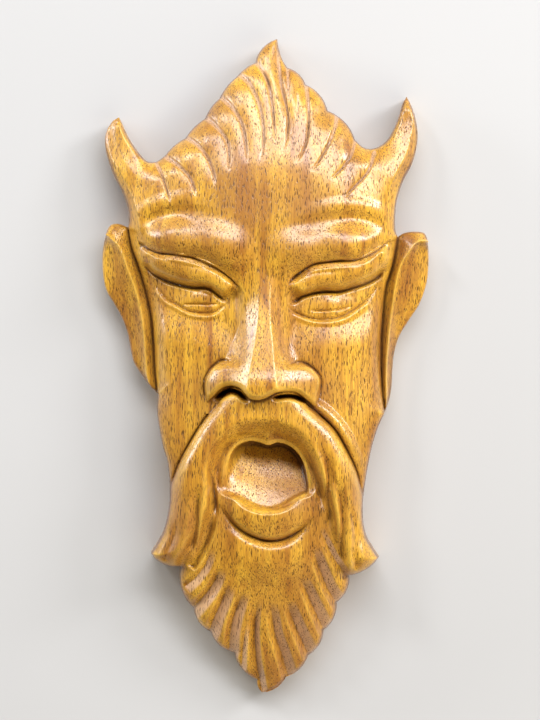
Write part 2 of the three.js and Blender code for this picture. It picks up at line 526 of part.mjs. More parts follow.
const LIPS = [
  crispRoll([[-13.6, -39.6], [-12.4, -42.2], [-10.6, -44.2], [-7.2, -46.9], [-3.2, -48.5], [0.8, -49],
    [4.9, -48.5], [8.9, -46.8], [11.8, -44.8], [14, -41.5]], 2.6, 1.9, 9, 0.3, 0.3),
  cut([[-15.4, -43.5], [-14.6, -46.8], [-12.4, -50.2], [-9, -53.6], [-4.6, -56.2], [0.9, -57.8], [6.3, -57.2],
    [11.1, -54.6], [15.2, -51], [18.4, -50]], 3, 2, 3.2, 0.3, 0.3),
];

// Bevels the lips in towards the hollow and sinks its floor.
function openMouth(x, y, z) {
  if (Math.abs(x) > 20 || y > -19 || y < -51) return z;
  const within = depthIn(mouthLoop, x, y);
  const upper = ease((y + 46) / 7);
  const width = LOWER_BEVEL_WIDTH + (LIP_BEVEL_WIDTH - LOWER_BEVEL_WIDTH) * upper;
  const lips = z - LIP_BEVEL * (0.2 + 0.8 * upper) * clamp(1 + Math.min(within, 0) / width);
  if (within <= 0) return lips;
  const rise = levels(MOUTH_LEFT_RISE, x) * ease((y + 46) / 9);
  const floor = Math.min(levels(MOUTH_FLOOR, y) + rise, lips - 0.3);
  const wall = MOUTH_WALL + (MOUTH_LEFT_WALL - MOUTH_WALL) * ease((-3 - x) / 6) * upper;
  return lips - (lips - floor) * dome(within / wall);
}

// Beard: locks parted like those of the crest
const BEARD_LOCKS = [
  [[[-24.5, -81.2], [-21, -77.3], [-17.6, -72.8], [-14.8, -66.4]], 2.4, 4],
  [[[-19, -89], [-17.1, -84], [-14.6, -78.5], [-12, -72]], 2.4, 4.2],
  [[[-12.2, -95.6], [-11.8, -89.5], [-10.6, -84], [-8.7, -78.5], [-6.8, -74]], 2.4, 4],
  [[[-1.4, -108.5], [-3, -98.6], [-3.5, -89.7], [-3, -82], [-2, -77]], 3.4, 2.2],
  [[[7.6, -104.2], [5.5, -96.4], [3.3, -89.7], [2.4, -83.9], [1.6, -78]], 2.6, 3.6],
  [[[14.5, -97], [11.3, -89.7], [9.1, -84.3], [6.9, -77.8]], 2.6, 4.2],
  [[[19.6, -88.4], [16.7, -82.1], [13.6, -74.9], [11.4, -70]], 2.4, 4.2],
  [[[24.1, -79.6], [20.7, -74], [17.6, -66], [15.4, -59.7]], 2.4, 4],
];
const BEARD = [
  mound(1, -64, 17, 11, 0, 1.8),
  ...BEARD_LOCKS.map(([points, left, right]) => (
    gouge(points, BEARD_CUT, left, right, BEARD_CROWN, 2, 0, 0.35)
  )),
  gouge([[28, -71], [23, -64], [20, -58], [17.5, -53]], 1.4, 2.2, 2.2, 0.4, 2, 0.1, 0.4),
  gouge([[-8, -101], [-7.4, -93], [-6.3, -85]], 1.2, 1.4, 2, 0.3, 1.5, 0, 0.5),
  gouge([[-27.5, -74], [-23.4, -70.5], [-20, -66], [-17.6, -60]], 1.4, 1.8, 3, 0.3, 2, 0.1, 0.4),
];

// Horns: one crisp ridge along each, with a hollow facet towards the face
const HORNS = [
  arris([[47.6, 89], [49.4, 84], [49.1, 78.8], [46.7, 70.3], [42.2, 61.7], [38.7, 53.2]], 1.6, 2.6, 5.5),
  arris([[-53, 79], [-51.8, 70.3], [-46.9, 62], [-43.8, 54.8], [-42, 48], [-41.2, 42.9]],
    1.2, 5.5, 3, 0.4, 0.1),
  arris([[-49.6, 82], [-47, 76], [-43.5, 71.5], [-39.8, 66]], 0.7, 2, 4, 0.1, 0.4),
];

// Ears: a leaf with a crisp ridge and a facet on either side
const EAR_RIDGE_LEFT = [
  [-56, 45.5], [-54, 44.3], [-52, 42.9], [-48.6, 39.1], [-46, 32.2], [-43.9, 26.7], [-42.2, 20.7],
  [-41.1, 14.3], [-40.5, 7.8], [-40.1, 1.4], [-39.6, -4.1], [-37.5, -9.5],
];
const EAR_RIDGE_RIGHT = [
  [56.5, 41.8], [54, 41.6], [50.6, 41.3], [48, 38.2], [45, 33.5], [43.4, 27.2], [42.5, 20.7], [41.6, 14.3],
  [41, 7.9], [40.4, -0.7], [40.5, -9.2], [40.6, -14],
];
const ridgeLeft = curve(EAR_RIDGE_LEFT);
const ridgeRight = curve(EAR_RIDGE_RIGHT);
const EAR_RIDGE_HEIGHT = [[0, 12], [0.3, 12.4], [0.6, 11.8], [1, 10]];
const EAR_ROUNDING = 1;

function earHeight(x, y, edgeDepth, headDepth) {
  const [gap, share] = nearest(x < 0 ? ridgeLeft : ridgeRight, x, y);
  const isOuter = gap * Math.sign(x) > 0;
  const toFoot = isOuter ? edgeDepth : Math.min(edgeDepth, -headDepth);
  const climb = clamp(toFoot / (toFoot + Math.abs(gap) + 1e-6)) ** (isOuter ? 1.6 : 1);
  const foot = isOuter ? EAR_OUTER_EDGE : EAR_GROOVE;
  return foot + (levels(EAR_RIDGE_HEIGHT, share) - foot) * climb - (1 - dome(edgeDepth / EAR_ROUNDING));
}

// Rounds the head over towards its edge, with a narrow bevel along the edge itself.
const EDGE_BEVEL_WIDTH = 1.5;
const BEVEL_SHARE = 0.42;
function roundedEdge(x, y, carved, edgeDepth, headDepth) {
  const rim = levels(RIM, y);
  const round = levels(ROUNDING, y);
  const bevelWidth = EDGE_BEVEL_WIDTH + (round - EDGE_BEVEL_WIDTH) * ease((edgeDepth - headDepth) / 1.5);
  const bevel = BEVEL_SHARE * dome(headDepth / bevelWidth);
  const rounding = (1 - BEVEL_SHARE) * dome(headDepth / round) ** 1.2;
  return rim + (carved - rim) * (bevel + rounding);
}

// Height of the carved front over the back
function frontHeight(x, y) {
  const edgeDepth = depthIn(OUTLINE, x, y);
  const headDepth = depthIn(HEAD, x, y);
  const horn = apply(HORNS, x, y, 0) * ease(edgeDepth / 1.2);
  if (headDepth <= -1e-6) return earHeight(x, y, edgeDepth, headDepth) + horn;
  const away = Math.min(1.6, Math.abs(x) / HALF_HEAD);
  const block = levels(MIDLINE, y) - levels(SIDE_FALL, y) * away ** 2.2;
  const face = apply([...FOREHEAD, ...EYE_LEFT, ...EYE_RIGHT], x, y, hairHeight(x, y, block));
  const whiskers = apply(MOUSTACHE_CUTS, x, y, face + moustacheHeight(x, y));
  const withNose = Math.max(whiskers, face + noseHeight(x, y));
  const mouth = openMouth(x, y, apply([...NOSE_CUTS, ...LIPS], x, y, withNose));
  return roundedEdge(x, y, apply(BEARD, x, y, mouth), edgeDepth, headDepth) + horn;
}

// Points at an even step along a line.
function evenly(line, step) {
  const lengths = [0];
  for (let i = 0; i + 1 < line.length; i += 1) {
    lengths.push(lengths[i] + Math.hypot(line[i + 1][0] - line[i][0], line[i + 1][1] - line[i][1]));
  }
  const total = lengths[lengths.length - 1];
  const count = Math.max(1, Math.round(total / step));
  const out = [];
  let i = 0;
  for (let k = 0; k <= count; k += 1) {
    const at = total * k / count;
    while (i < lengths.length - 2 && at > lengths[i + 1]) i += 1;
    const t = (at - lengths[i]) / (lengths[i + 1] - lengths[i]);
    out.push([0, 1].map((n) => line[i][n] + (line[i + 1][n] - line[i][n]) * t));
  }
  return out;
}

// Lines the facets follow, beside those of the tools
const CREASES = [
  EAR_GROOVE_LEFT, EAR_GROOVE_RIGHT, EAR_RIDGE_LEFT.slice(2), EAR_RIDGE_RIGHT.slice(2), NOSE_EDGE,
  [...MOUTH_EDGE, MOUTH_EDGE[0]],
  [[-2.2, 16.5], [-2.9, 10.5], [-4, 4.5], [-5, -1.5], [-6, -8]],
  [[1.6, 15.5], [2.4, 7.5], [2.9, 0], [3.8, -7.5]],
];

function spacingAt(x, y) {
  const overFace = Math.abs(x) < 36 && y > 14 && y < 40;
  const overMouth = Math.abs(x) < 21 && y > -58 && y <= 14;
  if (overFace || overMouth) return FINE;
  if (y > 52 || y < -62) return MIDDLE_SPACING;
  return Math.abs(x) > HALF_HEAD ? MIDDLE_SPACING : COARSE;
}

// Keeps points apart while filling the shape; a coarse grid of cells finds neighbours quickly.
function makeField() {
  const cell = 3;
  const cells = new Map();
  const points = [];
  const key = (x, y) => `${Math.floor(x / cell)},${Math.floor(y / cell)}`;
  const isFree = (x, y, gap) => {
    for (let dx = -cell; dx <= cell; dx += cell) {
      for (let dy = -cell; dy <= cell; dy += cell) {
        for (const [px, py] of cells.get(key(x + dx, y + dy)) ?? []) {
          if (Math.hypot(px - x, py - y) < gap) return false;
        }
      }
    }
    return true;
  };
  const add = (x, y) => {
    points.push([x, y]);
    cells.set(key(x, y), [...(cells.get(key(x, y)) ?? []), [x, y]]);
  };
  return { points, isFree, add };
}

// Delaunay triangles of a set of points, by adding them one at a time.
function delaunay(points) {
  const far = 1000;
  const all = [...points, [-far, -far], [far, -far], [0, far]];
  const n = points.length;
  const round = (a, b, c) => {
    const [ax, ay] = all[a];
    const [bx, by] = [all[b][0] - ax, all[b][1] - ay];
    const [cx, cy] = [all[c][0] - ax, all[c][1] - ay];
    const twice = 2 * (bx * cy - by * cx);
    const ux = (cy * (bx * bx + by * by) - by * (cx * cx + cy * cy)) / twice;
    const uy = (bx * (cx * cx + cy * cy) - cx * (bx * bx + by * by)) / twice;
    return { corners: [a, b, c], x: ax + ux, y: ay + uy, reach: ux * ux + uy * uy };
  };
  let open = [round(n, n + 1, n + 2)];
  const done = [];
  const order = points.map((p, i) => i).sort((i, j) => points[i][0] - points[j][0]);
  for (const i of order) {
    const [x, y] = all[i];
    const edges = new Map();
    const keep = [];
    for (const face of open) {
      const dx = x - face.x;
      if (dx > 0 && dx * dx > face.reach) {
        done.push(face.corners);
      } else if (dx * dx + (y - face.y) ** 2 > face.reach - 1e-9) {
        keep.push(face);
      } else {
        face.corners.forEach((a, k) => {
          const b = face.corners[(k + 1) % 3];
          if (!edges.delete(`${b},${a}`)) edges.set(`${a},${b}`, [a, b]);
        });
      }
    }
    open = keep;
    for (const [a, b] of edges.values()) open.push(round(a, b, i));
  }
  return [...done, ...open.map((face) => face.corners)].filter((corners) => corners.every((i) => i < n));
}

// The edge of the front face, with even steps and its sharp corners kept.
function edgePoints() {
  const lines = [
    curve(TIP_LEFT), [...scallops(CREST_LEFT, CREST_BULGE_LEFT), CREST_LEFT[CREST_LEFT.length - 1]],
    curve(HORN_LEFT.slice(0, 8)), curve(HORN_LEFT.slice(7)), curve(EAR_LEFT), curve(CHEEK_LEFT),
    curve(WHISKER_LEFT), [...scallops(BEARD_LEFT, BEARD_BULGE), BEARD_LEFT[BEARD_LEFT.length - 1]],
    [...scallops(BEARD_RIGHT, BEARD_BULGE), BEARD_RIGHT[BEARD_RIGHT.length - 1]], curve(WHISKER_RIGHT),
    curve(CHEEK_RIGHT), curve(EAR_RIGHT), curve(HORN_RIGHT.slice(0, 12)), curve(HORN_RIGHT.slice(11)),
    [...scallops(CREST_RIGHT, CREST_BULGE_RIGHT), CREST_RIGHT[CREST_RIGHT.length - 1]], curve(TIP_RIGHT),
  ];
  return lines.flatMap((line) => evenly(line, EDGE_STEP).slice(0, -1));
}

// How far each edge point can move inwards without the two sides of a thin horn meeting.
function roomInside(loop) {
  const count = loop.length;
  const inward = loop.map((p, i) => {
    const before = loop[(i + count - 1) % count];
    const after = loop[(i + 1) % count];
    const length = Math.hypot(after[0] - before[0], after[1] - before[1]);
    return [-(after[1] - before[1]) / length, (after[0] - before[0]) / length];
  });
  const depthAt = ([x, y], [dx, dy], reach) => depthIn(loop, x + dx * reach, y + dy * reach);
  const room = loop.map((point, i) => {
    let reach = 0;
    while (reach < 8 && depthAt(point, inward[i], reach) > reach * 0.8 - 0.05) reach += 0.2;
    return reach;
  });
  const calm = room.map((r, i) => Math.min(r, room[(i + 1) % count], room[(i + count - 1) % count]));
  return { inward, room: calm };
}

function maskGeometry() {
  const edge = edgePoints();
  const field = makeField();
  edge.forEach(([x, y]) => field.add(x, y));
  const offer = (x, y, gap) => {
    if (isInside(edge, x, y) && depthIn(edge, x, y) > 0.6 * gap && field.isFree(x, y, gap)) field.add(x, y);
  };
  for (const line of [...CREASES, ...toolLines]) {
    evenly(curve(line), ALONG_CUTS).forEach(([x, y]) => offer(x, y, 0.8 * ALONG_CUTS));
  }
  const besideCuts = [...toolEdges, ...beside([...MOUTH_EDGE, MOUTH_EDGE[0]], -NARROW_FACET)];
  besideCuts.forEach(([x, y]) => offer(x, y, 0.7 * ALONG_CUTS));
  const step = 0.75;
  for (let y = -110; y <= 110; y += step * Math.sqrt(3) / 2) {
    const shift = Math.round((y + 110) / (step * Math.sqrt(3) / 2)) % 2 ? step / 2 : 0;
    for (let x = -56 + shift; x <= 56; x += step) offer(x, y, spacingAt(x, y));
  }
  const points = field.points;
  const front = points.map(([x, y]) => [x, y, frontHeight(x, y)]);
  const count = edge.length;
  const { inward, room } = roomInside(edge);
  const ring = (inset, z) => edge.map(([x, y], i) => {
    const move = Math.min(inset, 0.35 * room[i]);
    return [x + inward[i][0] * move, y + inward[i][1] * move, z];
  });
  const vertices = [...front, ...ring(WALL_TAPER, BACK_EASE), ...ring(WALL_TAPER + BACK_EASE, 0)];
  const faces = delaunay(points).filter((corners) => {
    const [x, y] = [0, 1].map((n) => corners.reduce((sum, i) => sum + points[i][n], 0) / 3);
    return isInside(edge, x, y);
  });
  const wallStart = points.length;
  const backStart = wallStart + count;
  for (let i = 0; i < count; i += 1) {
    const j = (i + 1) % count;
    faces.push([i, wallStart + i, wallStart + j], [i, wallStart + j, j]);
    faces.push([wallStart + i, backStart + i, backStart + j], [wallStart + i, backStart + j, wallStart + j]);
  }
  const backLoop = vertices.slice(backStart).map(([x, y]) => new THREE.Vector2(x, y));
  for (const [a, b, c] of THREE.ShapeUtils.triangulateShape(backLoop, [])) {
    faces.push([backStart + a, backStart + c, backStart + b]);
  }
  const geometry = new THREE.BufferGeometry();
  geometry.setAttribute('position', new THREE.Float32BufferAttribute(vertices.flat(), 3));
  geometry.setIndex(faces.flat());
  geometry.computeVertexNormals();
  return geometry;
}

const wood = new THREE.MeshStandardMaterial({ color: 0xa8702c, roughness: 0.4, metalness: 0 });
const mask = new THREE.Mesh(maskGeometry(), wood);
mask.name = 'satyr_mask';
const group = new THREE.Group();
group.name = 'satyr_wall_mask';
group.add(mask);
export default group;
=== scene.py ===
import math

import bpy
import numpy as np
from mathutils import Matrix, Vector
from mathutils.geometry import delaunay_2d_cdt


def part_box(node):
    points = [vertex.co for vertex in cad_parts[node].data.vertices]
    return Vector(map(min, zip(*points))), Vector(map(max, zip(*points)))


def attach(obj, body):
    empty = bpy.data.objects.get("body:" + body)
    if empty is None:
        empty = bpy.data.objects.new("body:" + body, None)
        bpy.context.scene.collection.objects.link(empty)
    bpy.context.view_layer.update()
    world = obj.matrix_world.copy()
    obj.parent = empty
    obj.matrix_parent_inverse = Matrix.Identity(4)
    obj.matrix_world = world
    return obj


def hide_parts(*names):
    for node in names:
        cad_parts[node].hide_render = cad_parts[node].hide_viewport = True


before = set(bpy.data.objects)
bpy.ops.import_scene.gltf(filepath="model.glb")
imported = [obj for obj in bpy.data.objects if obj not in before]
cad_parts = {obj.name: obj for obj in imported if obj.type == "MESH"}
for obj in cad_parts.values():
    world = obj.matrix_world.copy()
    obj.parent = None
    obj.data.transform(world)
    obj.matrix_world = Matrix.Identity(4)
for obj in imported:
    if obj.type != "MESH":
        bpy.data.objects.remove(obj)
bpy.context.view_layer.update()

# The board
# The mask is cut from one board of hardwood, grain along the face, then carved from the front.
# It is drawn here in millimetres: +Y to the tip of the crest, the flat back at zero height.
# The outline is sawn: shallow bites between the locks of crest and beard, smooth curves elsewhere.
DRAWN_LENGTH = 220.0
board_low, board_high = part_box("satyr_mask")
MM = (board_high[1] - board_low[1]) / DRAWN_LENGTH
MESH_STEP = 0.31
EDGE_STEP = 0.5
CURVE_STEPS = 8
CREST_BITE_LEFT = -0.06
CREST_BITE_RIGHT = -0.12
BEARD_BITE = -0.13


def curve(points, closed=False):
    """Smooth line through the given points."""
    knots = np.array(points, float)
    if closed:
        knots = np.vstack((knots[-1:], knots, knots[:2]))
    else:
        knots = np.vstack((2 * knots[0] - knots[1], knots, 2 * knots[-1] - knots[-2]))
    line = []
    for before, start, end, after in zip(knots[:-3], knots[1:-2], knots[2:-1], knots[3:]):
        t = (np.arange(CURVE_STEPS) / CURVE_STEPS)[:, None]
        bend = 2 * before - 5 * start + 4 * end - after
        twist = 3 * start - before - 3 * end + after
        line.append(start + 0.5 * ((end - before) * t + bend * t**2 + twist * t**3))
    if not closed:
        line.append(knots[-2:-1])
    return np.vstack(line)


def evenly(line, step):
    """Points at an even step along a line, without its last one, which starts the next line."""
    along = np.concatenate(([0], np.cumsum(np.hypot(*np.diff(line, axis=0).T))))
    places = np.linspace(0, along[-1], max(2, round(along[-1] / step)) + 1)[:-1]
    return np.column_stack([np.interp(places, along, line[:, axis]) for axis in (0, 1)])


def bites(corners, bulge):
    """Shallow arcs from corner to corner, as a gouge leaves along an edge."""
    arcs = []
    corners = np.array(corners, float)
    for start, end in zip(corners[:-1], corners[1:]):
        t = np.linspace(0, 1, CURVE_STEPS + 1)[:, None]
        reach = end - start
        arc = start + reach * t + 4 * bulge * t * (1 - t) * np.array([-reach[1], reach[0]])
        arcs.append(evenly(arc, EDGE_STEP))
    return np.vstack(arcs)


def sawn(points):
    """A smooth stretch of the edge, as points at an even step."""
    return evenly(curve(points), EDGE_STEP)


tip_left = sawn([(4, 110), (1.5, 109), (-1, 107), (-2.7, 104.5), (-3.5, 102)])
crest_left = bites(
    [(-3.5, 102), (-10, 97), (-15.5, 90), (-20.5, 83), (-27, 76.5), (-33.5, 71)], CREST_BITE_LEFT)
horn_left_inside = sawn(
    [(-33.5, 71), (-35.5, 69.3), (-37.7, 68.5), (-40, 69), (-42.8, 72), (-45.8, 76.5), (-48, 81),
     (-49.3, 83.7)])
horn_left_outside = sawn(
    [(-49.3, 83.7), (-51.3, 82.5), (-53, 80), (-54, 76.8), (-53.8, 72.8), (-52.6, 68), (-50.8, 63.4),
     (-48.8, 59.6), (-47.1, 55.6), (-46.1, 51.3), (-46.1, 46.6)])
ear_left = sawn(
    [(-46.1, 46.6), (-49.5, 47.8), (-52.1, 47.4), (-53.7, 44.6), (-54.7, 40), (-55, 34.9), (-54.6, 29.5),
     (-53.5, 25.1), (-51.1, 21.1), (-48.5, 16.4), (-46.5, 11), (-45.4, 5.4), (-44.4, 1.3), (-41.8, -3),
     (-38.7, -7), (-36.2, -9.4)])
cheek_left = sawn(
    [(-36.2, -9.4), (-36.5, -14), (-36.2, -18.5), (-34.6, -26.8), (-33, -32.2), (-32.4, -37.6),
     (-32.2, -43.3), (-32.7, -48.3), (-34.2, -54.7), (-36.6, -59.4), (-38.6, -62.4)])
whisker_left = sawn([(-38.6, -62.4), (-37.1, -64.7), (-34.4, -66.4), (-31.7, -67.2), (-28.8, -67.4)])
beard_left = bites(
    [(-28.8, -67.4), (-24.3, -81.5), (-18.6, -89.5), (-10.6, -96.6), (-2.9, -105.7), (-1.2, -110)],
    BEARD_BITE)
beard_right = bites(
    [(-1.2, -110), (6.9, -104.6), (14.4, -97.3), (19.6, -88.9), (24, -79.5), (28.3, -70.4)], BEARD_BITE)
whisker_right = sawn([(28.3, -70.4), (31, -69.6), (33.7, -68.3), (36.4, -66.2), (38.2, -63.9)])
cheek_right = sawn(
    [(38.2, -63.9), (36.1, -60.7), (34, -57), (32.9, -52.3), (32.7, -47.6), (33.2, -41.6), (34.4, -33.9),
     (35.9, -26.8), (37.7, -21.1), (39.9, -16.1)])
ear_right = sawn(
    [(39.9, -16.1), (41.4, -12.4), (42.4, -7.4), (42.8, -0.7), (43.4, 4.7), (45.1, 10.1), (48.1, 15.1),
     (51.8, 20.8), (54.2, 27.5), (54.9, 33.5), (54.9, 38.9), (54.5, 42.6), (53.2, 44.8), (50.1, 45.2),
     (46.8, 44.8), (44.4, 43.4)])
horn_right_outside = sawn(
    [(44.4, 43.4), (43.7, 45.6), (43.6, 50), (44.1, 55), (45.3, 59.4), (46.8, 63.1), (49, 67.2), (50.6, 72.4),
     (51.2, 77.8), (50.5, 83.2), (49.1, 87.4), (47.5, 90.6)])
horn_right_inside = sawn(
    [(47.5, 90.6), (46.1, 88.2), (44.6, 83.3), (42.9, 79.3), (40.9, 76.1), (38.4, 74), (35.4, 73),
     (32.9, 73.5), (31.2, 74.8), (30, 76.3)])
crest_right = bites([(30, 76.3), (21, 85.7), (13.6, 94.6), (7.4, 100.3)], CREST_BITE_RIGHT)
tip_right = sawn([(7.4, 100.3), (5.9, 102.6), (4.9, 105.2), (4.3, 107.7), (4, 110)])

top_left = [tip_left, crest_left, horn_left_inside, horn_left_outside]
jaw = [cheek_left, whisker_left, beard_left, beard_right, whisker_right, cheek_right]
top_right = [horn_right_outside, horn_right_inside, crest_right, tip_right]
outline = np.vstack([*top_left, ear_left, *jaw, ear_right, *top_right])

# The rounded block
# Before any detail the head is hewn to a long rounded block, highest at the brow, its sides falling
# to a low edge. The ears are left lower, outside a groove that follows the side of the head.
MIDLINE = [(-110, 9), (-95, 14), (-80, 17.5), (-60, 21.5), (-40, 22.5), (0, 23), (22, 24), (35, 25),
           (45, 25.5), (55, 25), (65, 24), (80, 20.5), (95, 16.5), (110, 12)]
RIM_HEIGHT = [(-110, 6.5), (-80, 7.5), (-66, 8.5), (-50, 10.5), (-22, 10.5), (-8, 9), (40, 9), (60, 8.5),
              (75, 8), (110, 8)]
EDGE_ROUNDING = [(-110, 8), (-70, 7), (-50, 7.5), (-15, 6.5), (0, 5.5), (40, 5.5), (55, 7), (70, 9), (90, 9),
                 (110, 7)]
SIDE_FALL = [(-110, 2), (-70, 4), (-40, 5), (-15, 6), (0, 7), (30, 7), (55, 6), (110, 3)]
HALF_HEAD = 36.0
SIDE_LIMIT = 1.6
SIDE_POWER = 2.2
FAR_OFF = 14.0
GRID_HALF_WIDTH = 56
EDGE_CLEARANCE = 0.55
ear_groove_left = sawn(
    [(-46.1, 46.6), (-44.8, 39.6), (-42.6, 33.5), (-40.1, 25), (-38.3, 16.4), (-37.5, 7.9), (-37.1, -0.7),
     (-36.2, -9.4)])
ear_groove_right = sawn(
    [(39.9, -16.1), (38.9, -5), (38.8, 7.9), (39.5, 18.6), (40.4, 26.7), (42.5, 33.5), (44.4, 43.4)])
head_outline = np.vstack([*top_left, ear_groove_left, *jaw, ear_groove_right, *top_right])


def near(line, x, y):
    """Distance to a line, positive on its left, and how far along it the nearest point lies."""
    starts = line[:-1]
    spans = np.diff(line, axis=0)
    lengths = np.maximum(np.hypot(spans[:, 0], spans[:, 1]), 1e-9)
    reached = np.concatenate(([0], np.cumsum(lengths)))
    distance = np.full(x.shape, 1e9)
    side = np.ones(x.shape)
    share = np.zeros(x.shape)
    for start, span, length, before in zip(starts, spans, lengths, reached):
        dx = x - start[0]
        dy = y - start[1]
        part = np.clip((dx * span[0] + dy * span[1]) / length**2, 0, 1)
        away = np.hypot(dx - part * span[0], dy - part * span[1])
        closer = away < distance
        distance[closer] = away[closer]
        side[closer] = np.where(span[0] * dy[closer] >= span[1] * dx[closer], 1.0, -1.0)
        share[closer] = (before + part[closer] * length) / reached[-1]
    return distance * side, share


def depth_in(loop, x, y):
    """Distance to a closed line, positive inside it and no more than FAR_OFF."""
    order = np.argsort(y, kind="stable")
    sorted_x, sorted_y = x[order], y[order]
    distance = np.full(len(order), FAR_OFF)
    within = np.zeros(len(order), bool)
    for (x0, y0), (x1, y1) in zip(loop, np.roll(loop, -1, axis=0)):
        below, above = min(y0, y1), max(y0, y1)
        low, high = np.searchsorted(sorted_y, (below - FAR_OFF, above + FAR_OFF))
        dx, dy = sorted_x[low:high] - x0, sorted_y[low:high] - y0
        part = np.clip((dx * (x1 - x0) + dy * (y1 - y0)) / ((x1 - x0)**2 + (y1 - y0)**2 + 1e-12), 0, 1)
        away = np.hypot(dx - part * (x1 - x0), dy - part * (y1 - y0))
        distance[low:high] = np.minimum(distance[low:high], away)
        if y0 != y1:
            low, high = np.searchsorted(sorted_y, (below, above))
            crossing = x0 + (sorted_y[low:high] - y0) * (x1 - x0) / (y1 - y0)
            within[low:high] ^= sorted_x[low:high] < crossing
    depth = np.empty(len(order))
    depth[order] = np.where(within, distance, -distance)
    return depth


def ease(t):
    """Rises smoothly from 0 to 1, level at both ends."""
    t = np.clip(t, 0, 1)
    return t * t * (3 - 2 * t)


def dome(t):
    """Rises as a quarter circle does, steep at first and level at 1."""
    return np.sqrt(1 - (1 - np.clip(t, 0, 1))**2)


def levels(knots, at):
    """Smooth profile through (place, height) knots."""
    places, heights = np.array(knots, float).T
    slopes = np.gradient(heights, places)
    i = np.clip(np.searchsorted(places, at) - 1, 0, len(places) - 2)
    width = places[i + 1] - places[i]
    t = np.clip((at - places[i]) / width, 0, 1)
    rise = heights[i] + (heights[i + 1] - heights[i]) * t * t * (3 - 2 * t)
    return rise + width * t * (1 - t) * (slopes[i] * (1 - t) - slopes[i + 1] * t)


rows = np.arange(-DRAWN_LENGTH / 2, DRAWN_LENGTH / 2, MESH_STEP * math.sqrt(3) / 2)
columns = np.arange(-GRID_HALF_WIDTH, GRID_HALF_WIDTH, MESH_STEP)
grid_x, grid_y = np.meshgrid(columns, rows)
grid_x[1::2] += MESH_STEP / 2
grid_depth = depth_in(outline, grid_x.ravel(), grid_y.ravel()).reshape(grid_x.shape)
on_board = grid_depth > EDGE_CLEARANCE * MESH_STEP
x = np.concatenate((outline[:, 0], grid_x[on_board]))
y = np.concatenate((outline[:, 1], grid_y[on_board]))
edge_depth = np.concatenate((np.zeros(len(outline)), grid_depth[on_board]))
head_depth = depth_in(head_outline, x, y)
cut_and_sheen = np.zeros(len(x))
over = np.clip(np.abs(x) / HALF_HEAD, 0, SIDE_LIMIT)
height = levels(MIDLINE, y) - levels(SIDE_FALL, y) * over**SIDE_POWER

# The locks of the crest
# The hair is set down a little behind the forehead. Crisp cuts from a gouge fan from it to the notches
# in the edge, and each lock between them is left gently crowned.
HAIRLINE = [(-46, 50), (-38, 53), (-30, 55), (-22, 58), (-14, 62), (-6, 64.5), (3, 66), (12, 63), (20, 58),
            (30, 54), (38, 51), (46, 48)]
HAIR_SETBACK = [(-46, 0.8), (-30, 1.0), (-14, 0.8), (-6, 0), (12, 0), (20, 0.4), (28, 0.8), (46, 0.8)]
HAIR_SLOPE = 12.0
LOCK_CUT = 0.9
LOCK_CROWN = 0.35
GOUGE_HOLLOW = 0.6
GOUGE_END = 0.45
GOUGE_MARK_AND_SHEEN = 2.5


def around(line, reach):
    """The front's points within reach of a line, or of the box between two corners."""
    low = line.min(axis=0) - reach
    high = line.max(axis=0) + reach
    return np.nonzero((x > low[0]) & (x < high[0]) & (y > low[1]) & (y < high[1]))[0]


def run_out(share, fade_in, fade_out):
    """How a tool enters and leaves the wood along its stroke."""
    start = ease(share / fade_in) if fade_in > 0 else 1.0
    end = ease((1 - share) / fade_out) if fade_out > 0 else 1.0
    return start * end


def cut(points, depth, left, right, fade_in, fade_out):
    """V cut along a curve with rounded shoulders, its widths measured on either hand."""
    line = curve(points)
    here = around(line, max(left, right))
    offset, share = near(line, x[here], y[here])
    wide = np.where(offset >= 0, left, right)
    height[here] -= depth * np.clip(1 - np.abs(offset) / wide, 0, 1)**2 * run_out(share, fade_in, fade_out)


def gouge(points, depth, left, right, crown, shoulder=3.0, fade_in=0.0, fade_out=0.25):
    """A cut with a crisp edge on either hand, narrower at its end; beyond it the wood is rounded over."""
    line = curve(points)
    here = around(line, max(left, right) + shoulder)
    offset, share = near(line, x[here], y[here])
    wide = np.where(offset >= 0, left, right) * (1 - (1 - GOUGE_END) * share)
    bed = np.clip(1 - np.abs(offset) / wide, 0, 1)
    fall = np.clip(1 - (np.abs(offset) - wide) / shoulder, 0, 1)**2
    run = run_out(share, fade_in, fade_out)
    height[here] -= (depth * bed * (1 + GOUGE_HOLLOW - GOUGE_HOLLOW * bed) + crown * fall) * run
    # Marks the trough for a paler tint: partly the cut wood, partly a painted sheen on the cut.
    cut_and_sheen[here] = np.maximum(cut_and_sheen[here], np.minimum(1, GOUGE_MARK_AND_SHEEN * bed) * run)


